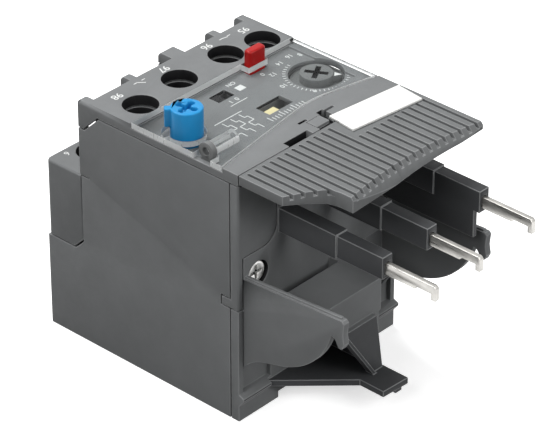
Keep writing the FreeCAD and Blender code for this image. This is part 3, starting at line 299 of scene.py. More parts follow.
@dataclass(frozen=True)
class ClearPlastic:
    """Clear window moulding that lets lamp light through to what lies under it."""

    name: str
    colour: Colour = (0.87, 0.88, 0.88)
    shade: Colour = (0.93, 0.94, 0.94)
    coat: float = 0.25
    coat_bend: float = 1.3
    coat_roughness: float = 0.03
    wave: float = 0.2
    wave_height: float = 0.05 * MM

    def build(self) -> bpy.types.Material:
        """Make the material: a clear body under a polished, slightly wavy skin."""
        g = NodeGraph(self.name)
        waves = g.bump(g.noise(PerMetre.WAVES, 1.0), self.wave, self.wave_height)
        glass = g.add("ShaderNodeBsdfPrincipled", {
            "Base Color": (*self.colour, 1.0), "Roughness": 0.0, "IOR": 1.0,
            "Transmission Weight": 1.0, "Coat Weight": self.coat, "Coat IOR": self.coat_bend,
            "Coat Roughness": self.coat_roughness, "Coat Normal": waves})
        clear = g.add("ShaderNodeBsdfTransparent", {"Color": (*self.shade, 1.0)})
        shadow_ray = g.add("ShaderNodeLightPath").outputs["Is Shadow Ray"]
        return g.finish(g.mixed(shadow_ray, glass, clear))


@dataclass(frozen=True)
class FrostedEdge:
    """Cut and moulded edge of clear plastic, which scatters light and looks milky."""

    name: str
    colour: Colour = (0.8, 0.81, 0.81)
    clear: float = 0.35
    bend: float = 1.4
    gloss: float = 0.4
    draw: Point = (1.0, 1.0, 0.2)
    rough: tuple[float, float] = (0.25, 0.55)

    def build(self) -> bpy.types.Material:
        """Make the material: partly clear, rough, with fine streaks."""
        g = NodeGraph(self.name)
        streaks = g.spread(g.noise(PerMetre.STREAKS, 3.0, self.draw), *self.rough)
        shader = g.add("ShaderNodeBsdfPrincipled", {
            "Base Color": (*self.colour, 1.0), "Roughness": streaks, "IOR": self.bend,
            "Transmission Weight": self.clear, "Specular IOR Level": self.gloss})
        return g.finish(shader.outputs["BSDF"])


@dataclass(frozen=True)
class Ink:
    """Pad-printed marking with slightly uneven cover."""

    name: str
    colour: Colour
    cover: float = 0.85
    roughness: float = 0.6
    grain: float = 0.1
    grain_height: float = 0.01 * MM

    def build(self) -> bpy.types.Material:
        """Make the material: matt ink, thinner in specks."""
        g = NodeGraph(self.name)
        specks = g.spread(g.noise(PerMetre.SPECKS, 3.0), self.cover, 1.0, 0.35, 0.55)
        shader = g.add("ShaderNodeBsdfPrincipled", {
            "Base Color": g.tinted(self.colour, specks), "Roughness": self.roughness,
            "Normal": g.bump(g.noise(PerMetre.GRAIN), self.grain, self.grain_height)})
        return g.finish(shader.outputs["BSDF"])


class Look(Enum):
    """Every finish on the relay, named after a material slot or its use."""

    BODY = MouldedPlastic("housing_plastic", (0.178, 0.184, 0.187), 0.6, gloss=0.12)
    APRON = MouldedPlastic("apron_plastic", (0.147, 0.152, 0.154), 0.6, gloss=0.14)
    # Painted shade: near-black colour on the sleeves, web and foot in front of the wall, where the
    # apron and wings shade them.
    INSERT = MouldedPlastic("coupling_painted_shade_plastic", (0.055, 0.057, 0.06), 0.5, gloss=0.15)
    # Painted highlight: a lighter, glossier colour on the rounded edges of housing and apron,
    # where edges catch the light.
    RIM = MouldedPlastic("painted_edge_highlight_plastic", (0.205, 0.21, 0.213), 0.45, gloss=0.28)
    SEAL = MouldedPlastic("eyelet_plastic", (0.15, 0.155, 0.155), 0.5, gloss=0.25)
    CLEAR = ClearPlastic("window_plastic")
    FROSTED = FrostedEdge("window_edge_plastic")
    LABEL = MouldedPlastic("label_plastic", (0.78, 0.78, 0.76), 0.4, 0.1, 0.01, gloss=0.3)
    BLUE = MouldedPlastic("knob_plastic", (0.012, 0.24, 0.53), 0.38, 0.1, 0.03, gloss=0.25)
    RED = MouldedPlastic("button_plastic", (0.37, 0.006, 0.006), 0.34, 0.1, 0.03, gloss=0.25)
    # Painted shade: near-black colour on the walls of holes, wells, notches, slots and screw
    # recesses, on the flag's carrier and in the seams.
    DARK = MouldedPlastic("painted_shade_plastic", (0.012, 0.012, 0.013), 0.55, gloss=0.15)
    CREAM = MouldedPlastic("flag_plastic", (0.72, 0.64, 0.36), 0.45, 0.1, gloss=0.3)
    DIAL = MouldedPlastic("dial_plastic", (0.14, 0.145, 0.145), 0.5, gloss=0.2)
    TINNED = PlatedMetal("tinned_copper", (0.5, 0.49, 0.465), 0.34)
    ZINC = PlatedMetal("zinc_plate", (0.8, 0.8, 0.78), 0.42, (1.0, 1.0, 1.0))
    SPRING = PlatedMetal("spring_wire", (0.52, 0.52, 0.5), 0.3, (1.0, 1.0, 1.0))
    INK = Ink("white_ink", (0.66, 0.67, 0.66))

    def material(self) -> bpy.types.Material:
        """Return the material of this finish, made on its first use."""
        finish: Finish = self.value
        return bpy.data.materials.get(finish.name) or finish.build()


def paint(piece: bpy.types.Object, look: Look) -> None:
    """Give a piece one finish.

    Args:
        piece: Mesh object to paint.
        look: Its finish.
    """
    piece.data.materials.clear()
    piece.data.materials.append(look.material())


# --------------------------------------------------------------------------
# Meshes
# --------------------------------------------------------------------------


def new_piece(name: str, verts: np.ndarray, faces: list[Sequence[int]], look: Look,
              body: str) -> bpy.types.Object:
    """Make a mesh object from arrays, paint it and let it ride.

    Args:
        name: Name of the piece.
        verts: Array of points, one row each, in metres.
        faces: Vertex numbers of every face, counted anticlockwise from outside.
        look: Finish of the piece.
        body: Frame body it moves with.

    Returns:
        The new object, at the origin with its place in its mesh.
    """
    mesh = bpy.data.meshes.new(name)
    mesh.from_pydata(verts.tolist(), [], faces)
    mesh.validate()
    return add_piece(name, mesh, look, body)


def add_piece(name: str, mesh: bpy.types.Mesh, look: Look, body: str) -> bpy.types.Object:
    """Link a finished mesh as a piece, paint it, and report it.

    Args:
        name: Name of the piece.
        mesh: Its mesh, in the frame's axes.
        look: Finish of the piece.
        body: Frame body it moves with.

    Returns:
        The new object.
    """
    piece = bpy.data.objects.new(name, mesh)
    bpy.context.scene.collection.objects.link(piece)
    paint(piece, look)
    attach(piece, body)
    LOG.info("%s: %d faces on body %s", name, len(mesh.polygons), body)
    return piece


def prism_faces(corners: int) -> list[list[int]]:
    """Return the faces of a prism whose points are its lower ring, then its upper ring.

    Args:
        corners: Points in each ring, which run anticlockwise seen from above.

    Returns:
        Floor, roof and sides as vertex numbers, anticlockwise from outside.
    """
    i = np.arange(corners)
    j = (i + 1) % corners
    sides = np.stack([i, j, j + corners, i + corners], -1).tolist()
    return [list(range(corners))[::-1], list(range(corners, 2 * corners)), *sides]


def points_of(mesh: bpy.types.Mesh) -> np.ndarray:
    """Return the points of a mesh, one row each."""
    flat = np.empty(len(mesh.vertices) * 3)
    mesh.vertices.foreach_get("co", flat)
    return flat.reshape(-1, 3)


def centre_of(box: Sequence[Point]) -> np.ndarray:
    """Return the middle of a box that is given by its lowest and highest corner."""
    low, high = (np.array(corner) for corner in box)
    return (low + high) * 0.5


@dataclass(frozen=True)
class EdgeRounder:
    """Rounds the edges of a copy of a CAD node, less where the faces are narrow.

    An edge that turns by more than sharp degrees is rounded to the width, in
    metres, or to what its room allows; faces within flat degrees become one.
    """

    width: float
    steps: int = 2
    sharp: float = 28.0
    flat: float = 0.6
    merge: float = 0.002 * MM
    flat_area: float = 1.2 * MM * MM
    room_per_width: float = 2.3
    least_share: float = 0.15

    def copy(self, name: str, node: bpy.types.Object, look: Look, body: str, slot: str,
             others: Sequence[tuple[Look, Chooser]] = ()) -> bpy.types.Object:
        """Stand a copy of a CAD node with rounded edges in its place.

        Args:
            name: Name of the node.
            node: Its object.
            look: Finish of the copy.
            body: Frame body it moves with.
            slot: Material slot of the record; not used.
            others: Further finishes, painted shade among them, each with what
                picks its faces from centres and normals.

        Returns:
            The copy.
        """
        mesh = node.data.copy()
        mesh.name = name + "_soft"
        bm = bmesh.new()
        bm.from_mesh(mesh)
        self._weigh_edges(bm)
        for face in bm.faces:
            face.smooth = look is not Look.CLEAR or face.calc_area() < self.flat_area
        centres = np.array([f.calc_center_median() for f in bm.faces])
        normals = np.array([f.normal for f in bm.faces])
        bm.to_mesh(mesh)
        bm.free()
        piece = add_piece(name + "_soft", mesh, look, body)
        index = np.zeros(len(centres), np.int32)
        for number, (finish, chooser) in enumerate(others, 1):
            mesh.materials.append(finish.material())
            index[chooser(centres, normals)] = number
        mesh.polygons.foreach_set("material_index", index)
        bevel = piece.modifiers.new("rounded_edges", "BEVEL")
        bevel.width = self.width
        bevel.segments = self.steps
        bevel.limit_method = "WEIGHT"
        bevel.use_clamp_overlap = False
        bevel.harden_normals = True
        # The rounding strips of housing and apron take the painted edge highlight.
        if look in (Look.BODY, Look.APRON):
            mesh.materials.append(Look.RIM.material())
            bevel.material = len(mesh.materials) - 1
        piece = self._kept_inside(piece, *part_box(name))
        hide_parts(name)
        return piece

    def _weigh_edges(self, bm: bmesh.types.BMesh) -> None:
        """Merge what lies flat, and weigh each edge by the share of the width it has room for.

        Args:
            bm: Mesh of the copy. Edges that stay sharp get the weight 0.
        """
        bmesh.ops.remove_doubles(bm, verts=bm.verts, dist=self.merge)
        bmesh.ops.dissolve_limit(bm, angle_limit=math.radians(self.flat),
                                 verts=bm.verts, edges=bm.edges)
        weight = bm.edges.layers.float.new("bevel_weight_edge")
        bm.edges.index_update()
        bm.verts.index_update()
        turned = [e for e in bm.edges if len(e.link_faces) == 2
                  and e.calc_face_angle(0.0) > math.radians(self.sharp)]
        room = self._room(bm, {e.index for e in turned})
        for edge in turned:
            share = min(1.0, room.get(edge.index, 1.0) / (self.room_per_width * self.width))
            edge.smooth = share > self.least_share
            edge[weight] = share if edge.smooth else 0.0

    @staticmethod
    def _kept_inside(piece: bpy.types.Object, low: Point, high: Point) -> bpy.types.Object:
        """Apply the rounding and hold every corner within the node's own box.

        Args:
            piece: Copy with its bevel modifier.
            low: Lowest corner of the CAD node's box.
            high: Highest corner of the box.

        Returns:
            The same object with its finished mesh.
        """
        graph = bpy.context.evaluated_depsgraph_get()
        mesh = bpy.data.meshes.new_from_object(
            piece.evaluated_get(graph), preserve_all_data_layers=True, depsgraph=graph)
        piece.modifiers.clear()
        piece.data = mesh
        held = np.clip(points_of(mesh), low, high)
        mesh.vertices.foreach_set("co", held.ravel())
        mesh.update()
        return piece

    @staticmethod
    def _room(bm: bmesh.types.BMesh, turned: set[int]) -> dict[int, float]:
        """Return how far each turned edge is from the next edge across its faces.

        On each face, three samples of every edge are dropped square onto every
        other edge that shares no corner with it; the shortest drop counts for both.

        Args:
            bm: Merged mesh of the copy.
            turned: Index of every edge that is to be rounded.

        Returns:
            Distance in metres, by edge index.
        """
        far, past_end, samples = 1.0, 0.02, (0.05, 0.5, 0.95)
        no_length = 1e-18
        room: dict[int, float] = {}
        for face in bm.faces:
            edges = list(face.edges)
            if len(edges) < 4:
                continue
            ends = np.array([[v.co for v in e.verts] for e in edges])
            pins = np.array([[v.index for v in e.verts] for e in edges])
            start, along = ends[:, 0], ends[:, 1] - ends[:, 0]
            length2 = np.maximum((along ** 2).sum(-1), no_length)
            share = (pins[:, None, :, None] == pins[None, :, None, :]).any((-1, -2))
            best = np.full(len(edges), far)
            for at in samples:
                spot = start + along * at
                away = spot[:, None] - start[None]
                t = (away * along[None]).sum(-1) / length2[None]
                gap = np.linalg.norm(away - t[..., None] * along[None], axis=-1)
                gap = np.where(share | (t < -past_end) | (t > 1.0 + past_end), far, gap)
                best = np.minimum(best, np.minimum(gap.min(0), gap.min(1)))
            for edge, value in zip(edges, best):
                if edge.index in turned:
                    room[edge.index] = min(room.get(edge.index, far), float(value))
        return room


# --------------------------------------------------------------------------
# Studio
# --------------------------------------------------------------------------


@dataclass(frozen=True)
class SoftBox:
    """A square lamp that faces a point."""

    name: str
    place: Point
    power: float
    target: Point = (0.0, 0.0, 0.03)
    size: float = 0.5

    def build(self) -> None:
        """Make the lamp and turn it to its target.

        Clear plastic already passes its light as shadow rays, so other rays
        through the plastic don't meet the lamp a second time.
        """
        lamp = bpy.data.lights.new(self.name, "AREA")
        lamp.size = self.size
        lamp.energy = self.power
        holder = bpy.data.objects.new(self.name, lamp)
        holder.location = self.place
        aim = Vector(self.target) - Vector(self.place)
        holder.rotation_euler = aim.to_track_quat("-Z", "Y").to_euler()
        holder.visible_transmission = False
        bpy.context.scene.collection.objects.link(holder)


@dataclass
class Studio:
    """Pale floor, even light and the camera."""

    floor_size: float = 6.0
    floor_drop: float = 0.01 * MM
    floor_seen: Colour = (0.88, 0.88, 0.88)
    floor_glow: float = 0.6
    floor_dim: Colour = (0.12, 0.12, 0.12)
    world_light: float = 0.13
    azimuth: float = -47.683
    elevation: float = 32.291
    roll: float = 0.09
    place: Point = (-0.4007, -0.36155, 0.37302)
    lens: float = 215.46
    sensor: float = 36.0
    clip: tuple[float, float] = (0.01, 20.0)
    lamps: list[SoftBox] = field(default_factory=lambda: [
        SoftBox("top_light", (0.0, 0.3, 0.78), 7.3),
        SoftBox("side_light", (-0.79, -0.07, 0.6), 3.5),
        SoftBox("front_light", (0.12, -0.82, 0.56), 4.2),
    ])

    def build(self) -> None:
        """Make the floor, the world, the lamps and the camera."""
        self._floor()
        self._world()
        for lamp in self.lamps:
            lamp.build()
        self._camera()
        bpy.context.scene.view_settings.view_transform = "Standard"

    def _floor(self) -> None:
        """Make a flat square floor just under the frame, white to the camera."""
        half = self.floor_size * 0.5
        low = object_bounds()[0][2] - self.floor_drop
        corners = [(x * half, y * half, low) for x, y in ((-1, -1), (1, -1), (1, 1), (-1, 1))]
        mesh = bpy.data.meshes.new("floor")
        mesh.from_pydata(corners, [], [(0, 1, 2, 3)])
        floor = bpy.data.objects.new("floor", mesh)
        bpy.context.scene.collection.objects.link(floor)
        g = NodeGraph("floor_paper")
        matt = g.add("ShaderNodeBsdfDiffuse", {"Color": (*self.floor_seen, 1.0)})
        dim = g.add("ShaderNodeBsdfDiffuse", {"Color": (*self.floor_dim, 1.0)})
        glow = g.add("ShaderNodeEmission", {"Color": WHITE, "Strength": self.floor_glow})
        seen = g.add("ShaderNodeAddShader", {0: matt.outputs["BSDF"], 1: glow.outputs["Emission"]})
        mesh.materials.append(g.finish(g.mixed(g.sees_the_room(), dim, seen)))
        floor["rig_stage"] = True

    def _world(self) -> None:
        """Light everything evenly; what is seen or mirrored of the room is white."""
        world = bpy.data.worlds.new("white_room")
        bpy.context.scene.world = world
        g = NodeGraph("white_room", world)
        lit = g.add("ShaderNodeBackground", {"Color": WHITE, "Strength": self.world_light})
        seen = g.add("ShaderNodeBackground", {"Color": WHITE, "Strength": 1.0})
        g.finish(g.mixed(g.sees_the_room(), lit, seen))

    def _camera(self) -> None:
        """Set the camera from its azimuth, elevation and roll.

        Its back vector is (sin az cos el, -cos az cos el, sin el); the right
        vector is level and then rolled about the back vector.
        """
        az, el = math.radians(self.azimuth), math.radians(self.elevation)
        back = Vector((math.sin(az) * math.cos(el), -math.cos(az) * math.cos(el), math.sin(el)))
        right = Vector((math.cos(az), math.sin(az), 0.0))
        right = Matrix.Rotation(math.radians(self.roll), 3, back) @ right
        up = back.cross(right)
        camera = bpy.data.cameras.new("camera")
        camera.lens = self.lens
        camera.sensor_width = self.sensor
        camera.clip_start, camera.clip_end = self.clip
        holder = bpy.data.objects.new("camera", camera)
        turn = Matrix((right, up, back)).transposed().to_4x4()
        holder.matrix_world = Matrix.Translation(self.place) @ turn
        bpy.context.scene.collection.objects.link(holder)
        bpy.context.scene.camera = holder


# --------------------------------------------------------------------------
# The relay
# --------------------------------------------------------------------------


SLOT_LOOKS = {
    "body": Look.BODY, "apron": Look.APRON, "seal": Look.SEAL, "clear": Look.CLEAR,
    "label": Look.LABEL, "blue": Look.BLUE, "red": Look.RED, "dark": Look.DARK,
    "cream": Look.CREAM, "dial": Look.DIAL, "tinned": Look.TINNED, "zinc": Look.ZINC,
    "spring": Look.SPRING,
}


def near(spots: np.ndarray, axes: np.ndarray, reach: float) -> np.ndarray:
    """Return which spots of a plane lie within a reach of any of the axes square to it."""
    return np.linalg.norm(spots[:, None] - axes[None], axis=-1).min(1) < reach


def between(values: np.ndarray, low: float | np.ndarray,
            high: float | np.ndarray) -> np.ndarray:
    """Return which values lie between two limits."""
    return (values > low) & (values < high)


class FacePicker:
    """Picks the faces of a CAD node that take another finish than the node's own, most of them
    painted shade.

    Every chooser gets the centres and the normals of a node's faces, one row each,
    and returns a truth value per face.
    """

    # A wall's normal has less than this along the axis of the hole it goes round.
    STEEP = 0.5
    # Reaches are from an axis or a box, and depths are below the front of the piece.
    ACCESS_REACH = 3.65 * MM
    WELL_MARGIN = 1.0 * MM
    SLOT_REACH = 2.5 * MM
    SLOT_DEPTHS = (0.3 * MM, 1.4 * MM)
    RECESS_REACH = 3.1 * MM
    DRIVE_REACH = 1.6 * MM
    DRIVE_DEPTHS = (0.25 * MM, 1.6 * MM)
    TAB_DEPTH = 2.2 * MM
    # The parts in front of the wall that take painted shade, and the heights of the latch block
    # among them, which keeps the body's colour.
    INSERT_HALF_WIDTH = 18.8 * MM
    INSERT_GAP = 0.4 * MM
    BLOCK_HEIGHTS = (17.9 * MM, 25.6 * MM)
    # Lowest and highest x and y of the notches beside the apron clip, in millimetres.
    NOTCHES = (((-9.8, -9.2), (-2.4, -4.4)), ((-0.4, -7.2), (5.2, -1.2)))
    NOTCH_DEPTH = 0.5 * MM

    def __init__(self, frame: dict) -> None:
        """Take the places the faces are picked by, while every node stands as packed.

        Args:
            frame: The loaded frame.
        """
        openings = frame["record"]["physics"]["openings"]
        access = [o["box_m"] for o in openings if "screw_access" in o["name"]]
        self.access_axes = np.array([centre_of(box)[:2] for box in access])
        self.head_axes = self._screw_heads(frame["nodes"]["housing_screws"].data)
        self.head_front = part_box("housing_screws")[0][1]
        self.wells = [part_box(name) for name in ("test_slide", "trip_flag")]
        self.flag_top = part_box("trip_flag")[1][2]
        self.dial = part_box("setting_dial")
        self.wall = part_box("corner_panel")[0][1]
        self.strip_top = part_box("top_cover")[1][2]

    def rules(self) -> dict[str, list[tuple[Look, Chooser]]]:
        """Return the further finishes of each node that has any, with their choosers; the
        near-black ones are painted shade.
        """
        # Near-black faces in holes, wells, notches, slots, screw recesses and screw drives are
        # painted shade.
        return {
            "clear_cover": [(Look.FROSTED, self.upright)],
            "trip_flag": [(Look.DARK, self.under_the_tab)],
            "main_housing": [(Look.DARK, self.in_screw_holes)],
            "terminal_block": [(Look.DARK, self.in_screw_holes)],
            "top_cover": [(Look.DARK, self.in_holes_and_wells), (Look.DARK, self.in_notches)],
            "apron_clip": [(Look.DARK, self.in_notches)],
            "front_apron": [(Look.DARK, self.in_notches)],
            "coupling_cover": [(Look.INSERT, self.in_front_of_the_wall),
                               (Look.DARK, self.round_the_screws)],
            "housing_screws": [(Look.DARK, self.in_the_drive)],
            "setting_dial": [(Look.DARK, self.in_dial_slot)],
        }

    @staticmethod
    def _screw_heads(mesh: bpy.types.Mesh) -> np.ndarray:
        """Return the middle of each housing screw as x and z, one row per screw."""
        spots = points_of(mesh)[:, ::2]
        left = spots[:, 0] < spots[:, 0].mean()
        return np.array([centre_of((half.min(0), half.max(0)))
                         for half in (spots[left], spots[~left])])

    def upright(self, centres: np.ndarray, normals: np.ndarray) -> np.ndarray:
        """Pick the walls that stand along Z."""
        return np.abs(normals[:, 2]) < self.STEEP

    def in_screw_holes(self, centres: np.ndarray, normals: np.ndarray) -> np.ndarray:
        """Pick the walls of the screwdriver holes."""
        inside = near(centres[:, :2], self.access_axes, self.ACCESS_REACH)
        return inside & self.upright(centres, normals)

    def in_holes_and_wells(self, centres: np.ndarray, normals: np.ndarray) -> np.ndarray:
        """Pick the walls of the screwdriver holes and of the test and trip windows."""
        picked = self.in_screw_holes(centres, normals)
        for low, high in self.wells:
            inside = between(centres[:, :2], np.array(low)[:2] - self.WELL_MARGIN,
                             np.array(high)[:2] + self.WELL_MARGIN).all(-1)
            picked |= inside & self.upright(centres, normals)
        return picked

    def in_dial_slot(self, centres: np.ndarray, normals: np.ndarray) -> np.ndarray:
        """Pick the walls and floor of the dial's cross slot."""
        inside = near(centres[:, :2], centre_of(self.dial)[None, :2], self.SLOT_REACH)
        return inside & between(self.dial[1][2] - centres[:, 2], *self.SLOT_DEPTHS)

    def round_the_screws(self, centres: np.ndarray, normals: np.ndarray) -> np.ndarray:
        """Pick the round walls in which the housing screws sit."""
        inside = near(centres[:, ::2], self.head_axes, self.RECESS_REACH)
        return inside & (np.abs(normals[:, 1]) < self.STEEP)

    def in_the_drive(self, centres: np.ndarray, normals: np.ndarray) -> np.ndarray:
        """Pick the cross recess in each screw head."""
        inside = near(centres[:, ::2], self.head_axes, self.DRIVE_REACH)
        return inside & between(centres[:, 1] - self.head_front, *self.DRIVE_DEPTHS)

    def under_the_tab(self, centres: np.ndarray, normals: np.ndarray) -> np.ndarray:
        """Pick the flag's carrier, below its coloured tab."""
        return centres[:, 2] < self.flag_top - self.TAB_DEPTH

    def in_front_of_the_wall(self, centres: np.ndarray, normals: np.ndarray) -> np.ndarray:
        """Pick the sleeves, web and foot between the wings for painted shade, but not the latch
        block.
        """
        return (between(centres[:, 0], -self.INSERT_HALF_WIDTH, self.INSERT_HALF_WIDTH)
                & (centres[:, 1] < self.wall - self.INSERT_GAP)
                & ~between(centres[:, 2], *self.BLOCK_HEIGHTS))

    def in_notches(self, centres: np.ndarray, normals: np.ndarray) -> np.ndarray:
        """Pick the sunk faces of the two notches beside the apron clip."""
        picked = np.zeros(len(centres), bool)
        for low, high in self.NOTCHES:
            picked |= between(centres[:, :2], np.array(low) * MM, np.array(high) * MM).all(-1)
        return picked & (centres[:, 2] < self.strip_top - self.NOTCH_DEPTH)


@dataclass
class Dressing:
    """Paints every CAD node and stands softened copies in for some of them.

    edges holds the rounding of each node that gets a copy, in millimetres.
    """

    frame: dict
    edges: dict[str, float] = field(default_factory=lambda: {
        "main_housing": 0.16, "terminal_block": 0.2, "top_cover": 0.14, "front_apron": 0.12,
        "coupling_cover": 0.14, "corner_panel": 0.14, "apron_clip": 0.1, "marker_label": 0.12,
        "seal_post": 0.12, "reset_knob": 0.25, "stop_button": 0.45, "setting_dial": 0.12,
        "clear_cover": 0.1, "pin_left": 0.12, "pin_middle": 0.12, "pin_right": 0.12,
        "trip_flag": 0.1, "test_slide": 0.1, "housing_screws": 0.1,
    })

    def build(self) -> None:
        """Paint all nodes, then copy and soften those that have an edge width."""
        slots = {s["node"]: s["material_slot"] for s in self.frame["record"]["subparts"]}
        rules = FacePicker(self.frame).rules()
        for name, node in self.frame["nodes"].items():
            look = SLOT_LOOKS[slots[name]]
            paint(node, look)
            if name in self.edges:
                rounder = EdgeRounder(self.edges[name] * MM)
                rounder.copy(name, node, look, node["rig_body"], slots[name], rules.get(name, ()))


@dataclass
class Seams:
    """Strips of painted shade inside the open seams, which also stop light from passing through.

    They lie inset from the outer faces, wide across and clear of both pieces by
    the play. foot and leg are the heights of the lower ends at the sides and
    between them; block is the width and height of the one at the apron.
    """

    frame: dict
    inset: float = 0.5 * MM
    wide: float = 0.8 * MM
    play: float = 0.02 * MM
    foot: float = 0.3 * MM
    leg: float = 1.6 * MM
    block: tuple[float, float] = (6.0 * MM, 1.6 * MM)

    def build(self) -> None:
        """Lay a strip round the coupling cover's seam and one under the apron's."""
        low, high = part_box("main_housing")
        cover_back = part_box("coupling_cover")[1][1]
        panel_low, panel_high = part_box("corner_panel")
        side, top = high[0] - self.inset, high[2] - self.inset
        inner, under, foot, leg = side - self.wide, top - self.wide, self.foot, self.leg
        left_end, top_end = panel_low[2] - self.inset, panel_high[0] + self.inset
        outline = [(-side, left_end), (-side, foot), (-inner, foot), (-inner, leg), (inner, leg),
                   (inner, foot), (side, foot), (side, top), (top_end, top), (top_end, under),
                   (inner, under), (inner, leg + self.wide), (-inner, leg + self.wide),
                   (-inner, left_end)]
        self._strip("wall_seam", outline, cover_back + self.play, low[1] - self.play)
        front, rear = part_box("front_apron"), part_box("top_cover")
        bottom, (across, tall) = front[0][2] + self.inset, self.block
        outline = [(-side, bottom), (across - side, bottom), (across - side, bottom + tall),
                   (-side, bottom + tall)]
        self._strip("apron_seam", outline, front[1][1] + self.play, rear[0][1] - self.play)

    def _strip(self, name: str, outline: list[tuple[float, float]],
               start: float, stop: float) -> None:
        """Make a flat strip with an outline in X and Z, from one Y to another.

        Args:
            name: Name of the piece.
            outline: Corners as x and z, anticlockwise seen from -Y.
            start: Lower end in Y, in metres.
            stop: Upper end in Y, in metres.
        """
        x, z = np.array(outline).T
        rows = [np.column_stack([x, np.full(len(x), y), z]) for y in (start, stop)]
        faces = [face[::-1] for face in prism_faces(len(x))]
        body = self.frame["nodes"]["main_housing"]["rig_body"]
        # Near-black: painted shade in the seam.
        new_piece(name, np.vstack(rows), faces, Look.DARK, body)


@dataclass
class PrintedMarks:
    """White pad printing on the strip, the label panel, the terminal block and the dial.

    Places, widths and heights of the marks are in millimetres in the frame's axes.
    """

    frame: dict
    parts: list[tuple[np.ndarray, list]] = field(default_factory=list)

    # Thickness in metres, and the share of it that lies inside the face below.
    THICK = 0.015 * MM
    SUNK = 0.2
    # Size and boldness of the type for each unit of its height.
    TYPE_SIZE = 1.4
    TYPE_BOLD = 0.012
    LINE = 0.2
    FINE_LINE = 0.16
    RULE_LINE = 0.18
    PANEL_DEPTH = 1.5
    DIAL_DEPTH = 1.4
    # Words with their middle, and with their height where it differs within a row.
    STRIP_HEIGHT = 1.7
    STRIP = (("98", -17.0, 29.5), ("97", -3.6, 30.2), ("96", 8.3, 30.2), ("95", 17.9, 29.4))
    SCALE_HEIGHT = 1.15
    SCALE = (("9", 11.7, 5.2), ("10", 9.2, 10.8), ("12", 11.0, 15.2), ("14", 15.0, 17.2),
             ("16", 18.3, 17.7), ("18", 20.6, 16.6))
    PANEL = (("0", 9.6, 16.7, 1.1), ("ON", 2.7, 18.6, 1.0), ("0  1", -1.3, 14.0, 1.1))
    POLE_HEIGHT = 1.4
    POLES = (("6", -18.6, 42.1), ("4", -4.6, 42.1), ("2", 9.4, 42.1))
    # Switch symbols by their middle and the lift of the open arm.
    SWITCHES = ((-10.1, 30.3, 0.9), (13.4, 30.1, 0.0))
    SWITCH_REACH = 1.5
    SWITCH_GAP = 0.6
    SWITCH_DROP = 0.25
    # The dial's ticks: their angles as start, stop and step, and the radii they span.
    TICK_ANGLES = (100.0, 331.0, 8.0)
    TICK_RADII = (5.95, 6.6)
    # The patch beside ON and the rule under the windows.
    PATCH = ((2.1, 15.5), (3.9, 15.5), (3.9, 17.1), (2.1, 17.1))
    RULE = ((-3.4, 12.8), (1.2, 12.8))
    # The ruler: number of ticks, first place, pitch, foot, and heads of plain and long ticks.
    RULER = (12, -1.9, 0.82, 3.2, 4.3, 4.9)
    LONG_EVERY = 4
    # The pointer's angle in degrees, the radii of its white tip and its half width.
    AIM = -50.0
    TIP_RADII = (3.45, 4.85)
    TIP_HALF_WIDTH = 0.7

    def text(self, words: str, x: float, y: float, z: float, height: float) -> None:
        """Add a word centred on a spot, to be read from +Y.

        Args:
            words: What is printed.
            x: Middle across.
            y: Middle along.
            z: Height of the face it lies on.
            height: Height of the type.
        """
        curve = bpy.data.curves.new("type", "FONT")
        curve.body = words
        curve.size = height * MM * self.TYPE_SIZE
        curve.align_x, curve.align_y = "CENTER", "CENTER"
        curve.extrude = self.THICK * 0.5
        curve.offset = self.TYPE_BOLD * height * MM
        holder = bpy.data.objects.new("type", curve)
        mesh = bpy.data.meshes.new_from_object(holder)
        faces = [tuple(p.vertices) for p in mesh.polygons]
        middle = np.array([x * MM, y * MM, z * MM + self.THICK * (0.5 - self.SUNK)])
        self.parts.append((points_of(mesh) * (-1.0, -1.0, 1.0) + middle, faces))
        bpy.data.objects.remove(holder)
        bpy.data.curves.remove(curve)
        bpy.data.meshes.remove(mesh)

    def stroke(self, ends: Sequence[tuple[float, float]], wide: float, z: float) -> None:
        """Add a straight bar between two spots.

        Its corners are each end plus and minus half the width square to the bar.

        Args:
            ends: Both ends as x and y.
            wide: Width of the bar.
            z: Height of the face it lies on.
        """
        a, b = (np.array(end) for end in ends)
        along = (b - a) / np.linalg.norm(b - a)
        side = np.array([-along[1], along[0]]) * wide * 0.5
        self.slab([a - side, b - side, b + side, a + side], z)

    def slab(self, ring: Sequence[tuple[float, float]], z: float) -> None:
        """Add a flat patch whose outline runs anticlockwise seen from above."""
        low = np.column_stack([np.array(ring) * MM,
                               np.full(len(ring), z * MM - self.THICK * self.SUNK)])
        verts = np.vstack([low, low + (0.0, 0.0, self.THICK)])
        self.parts.append((verts, prism_faces(len(ring))))

    def flush(self, name: str, body: str) -> None:
        """Join all marks added so far into one piece."""
        first, verts, faces = 0, [], []
        for points, polygons in self.parts:
            verts.append(points)
            faces += [tuple(int(i) + first for i in p) for p in polygons]
            first += len(points)
        new_piece(name, np.vstack(verts), faces, Look.INK, body)
        self.parts.clear()

    def build(self) -> None:
        """Print the strip, the panel with the dial's scale, the poles and the pointer."""
        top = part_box("top_cover")[1][2] / MM
        dial = centre_of(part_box("setting_dial"))[:2] / MM
        root = self.frame["nodes"]["top_cover"]["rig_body"]
        self._strip(top)
        self.flush("strip_marks", root)
        self._dial_scale(dial, top - self.PANEL_DEPTH)
        self._panel(top - self.PANEL_DEPTH)
        self.flush("panel_marks", root)
        for words, x, y in self.POLES:
            self.text(words, x, y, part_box("terminal_block")[1][2] / MM, self.POLE_HEIGHT)
        self.flush("pole_marks", self.frame["nodes"]["terminal_block"]["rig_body"])
        self._pointer(dial, top - self.DIAL_DEPTH)
        self.flush("pointer_mark", self.frame["nodes"]["setting_dial"]["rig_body"])

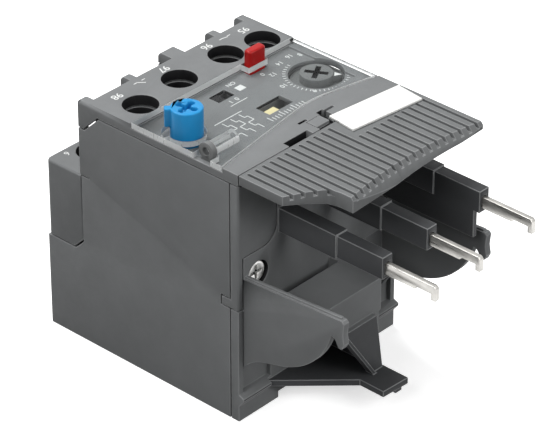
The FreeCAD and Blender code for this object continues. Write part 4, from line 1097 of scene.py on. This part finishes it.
    def _strip(self, z: float) -> None:
        """Print the contact numbers and switch symbols along the strip."""
        for words, x, y in self.STRIP:
            self.text(words, x, y, z, self.STRIP_HEIGHT)
        reach, gap = self.SWITCH_REACH, self.SWITCH_GAP
        for x, y, lift in self.SWITCHES:
            self.stroke(((x - reach, y), (x - gap, y)), self.LINE, z)
            self.stroke(((x + gap, y), (x + reach, y)), self.LINE, z)
            self.stroke(((x - gap, y), (x + gap, y - self.SWITCH_DROP - lift)), self.LINE, z)

    def _dial_scale(self, dial: np.ndarray, z: float) -> None:
        """Print the ticks and numbers round the dial.

        A tick at an angle runs between two radii along (cos angle, sin angle).
        """
        for angle in np.radians(np.arange(*self.TICK_ANGLES)):
            out = np.array([math.cos(angle), math.sin(angle)])
            self.stroke([dial + out * radius for radius in self.TICK_RADII], self.FINE_LINE, z)
        for words, x, y in self.SCALE:
            self.text(words, x, y, z, self.SCALE_HEIGHT)

    def _panel(self, z: float) -> None:
        """Print the window captions, the ruler and a small circuit sketch."""
        for words, x, y, height in self.PANEL:
            self.text(words, x, y, z, height)
        self.slab(self.PATCH, z)
        self.stroke(self.RULE, self.RULE_LINE, z)
        count, first, pitch, foot, plain, tall = self.RULER
        for i in range(count):
            x = first + pitch * i
            self.stroke(((x, foot), (x, plain if i % self.LONG_EVERY else tall)), self.LINE, z)
        self._circuit(z)

    def _circuit(self, z: float) -> None:
        """Print a circuit sketch: three poles with heater loops between two bars."""
        first, pitch, half = -9.2, 2.3, 0.75
        foot, low, middle, high, head = 3.0, 4.7, 6.4, 8.1, 9.6
        left, right, bars = -10.6, -3.2, (2.6, 10.2)
        for i in range(3):
            x = first + pitch * i
            self.stroke(((x, foot), (x, low)), self.LINE, z)
            self.stroke(((x, high), (x, head)), self.LINE, z)
            loop = [(x, low), (x - half, low), (x - half, middle), (x + half, middle),
                    (x + half, high), (x, high)]
            for ends in zip(loop[:-1], loop[1:]):
                self.stroke(ends, self.LINE, z)
        for y in bars:
            self.stroke(((left, y), (right, y)), self.LINE, z)

    def _pointer(self, dial: np.ndarray, z: float) -> None:
        """Print the white tip of the dial's pointer.

        Its corners are the end of the tip and two spots at its half width, square
        to the pointer, at the tip's inner radius.
        """
        aim = math.radians(self.AIM)
        along = np.array([math.cos(aim), math.sin(aim)])
        side = np.array([-along[1], along[0]]) * self.TIP_HALF_WIDTH
        inner, outer = (dial + along * radius for radius in self.TIP_RADII)
        self.slab([inner - side, outer, inner + side], z)


def main() -> None:
    """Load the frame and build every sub-assembly."""
    logging.basicConfig(level=logging.INFO, format="%(name)s: %(message)s")
    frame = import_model()
    Studio().build()
    Dressing(frame).build()
    Seams(frame).build()
    PrintedMarks(frame).build()


if __name__ == "__main__":
    main()
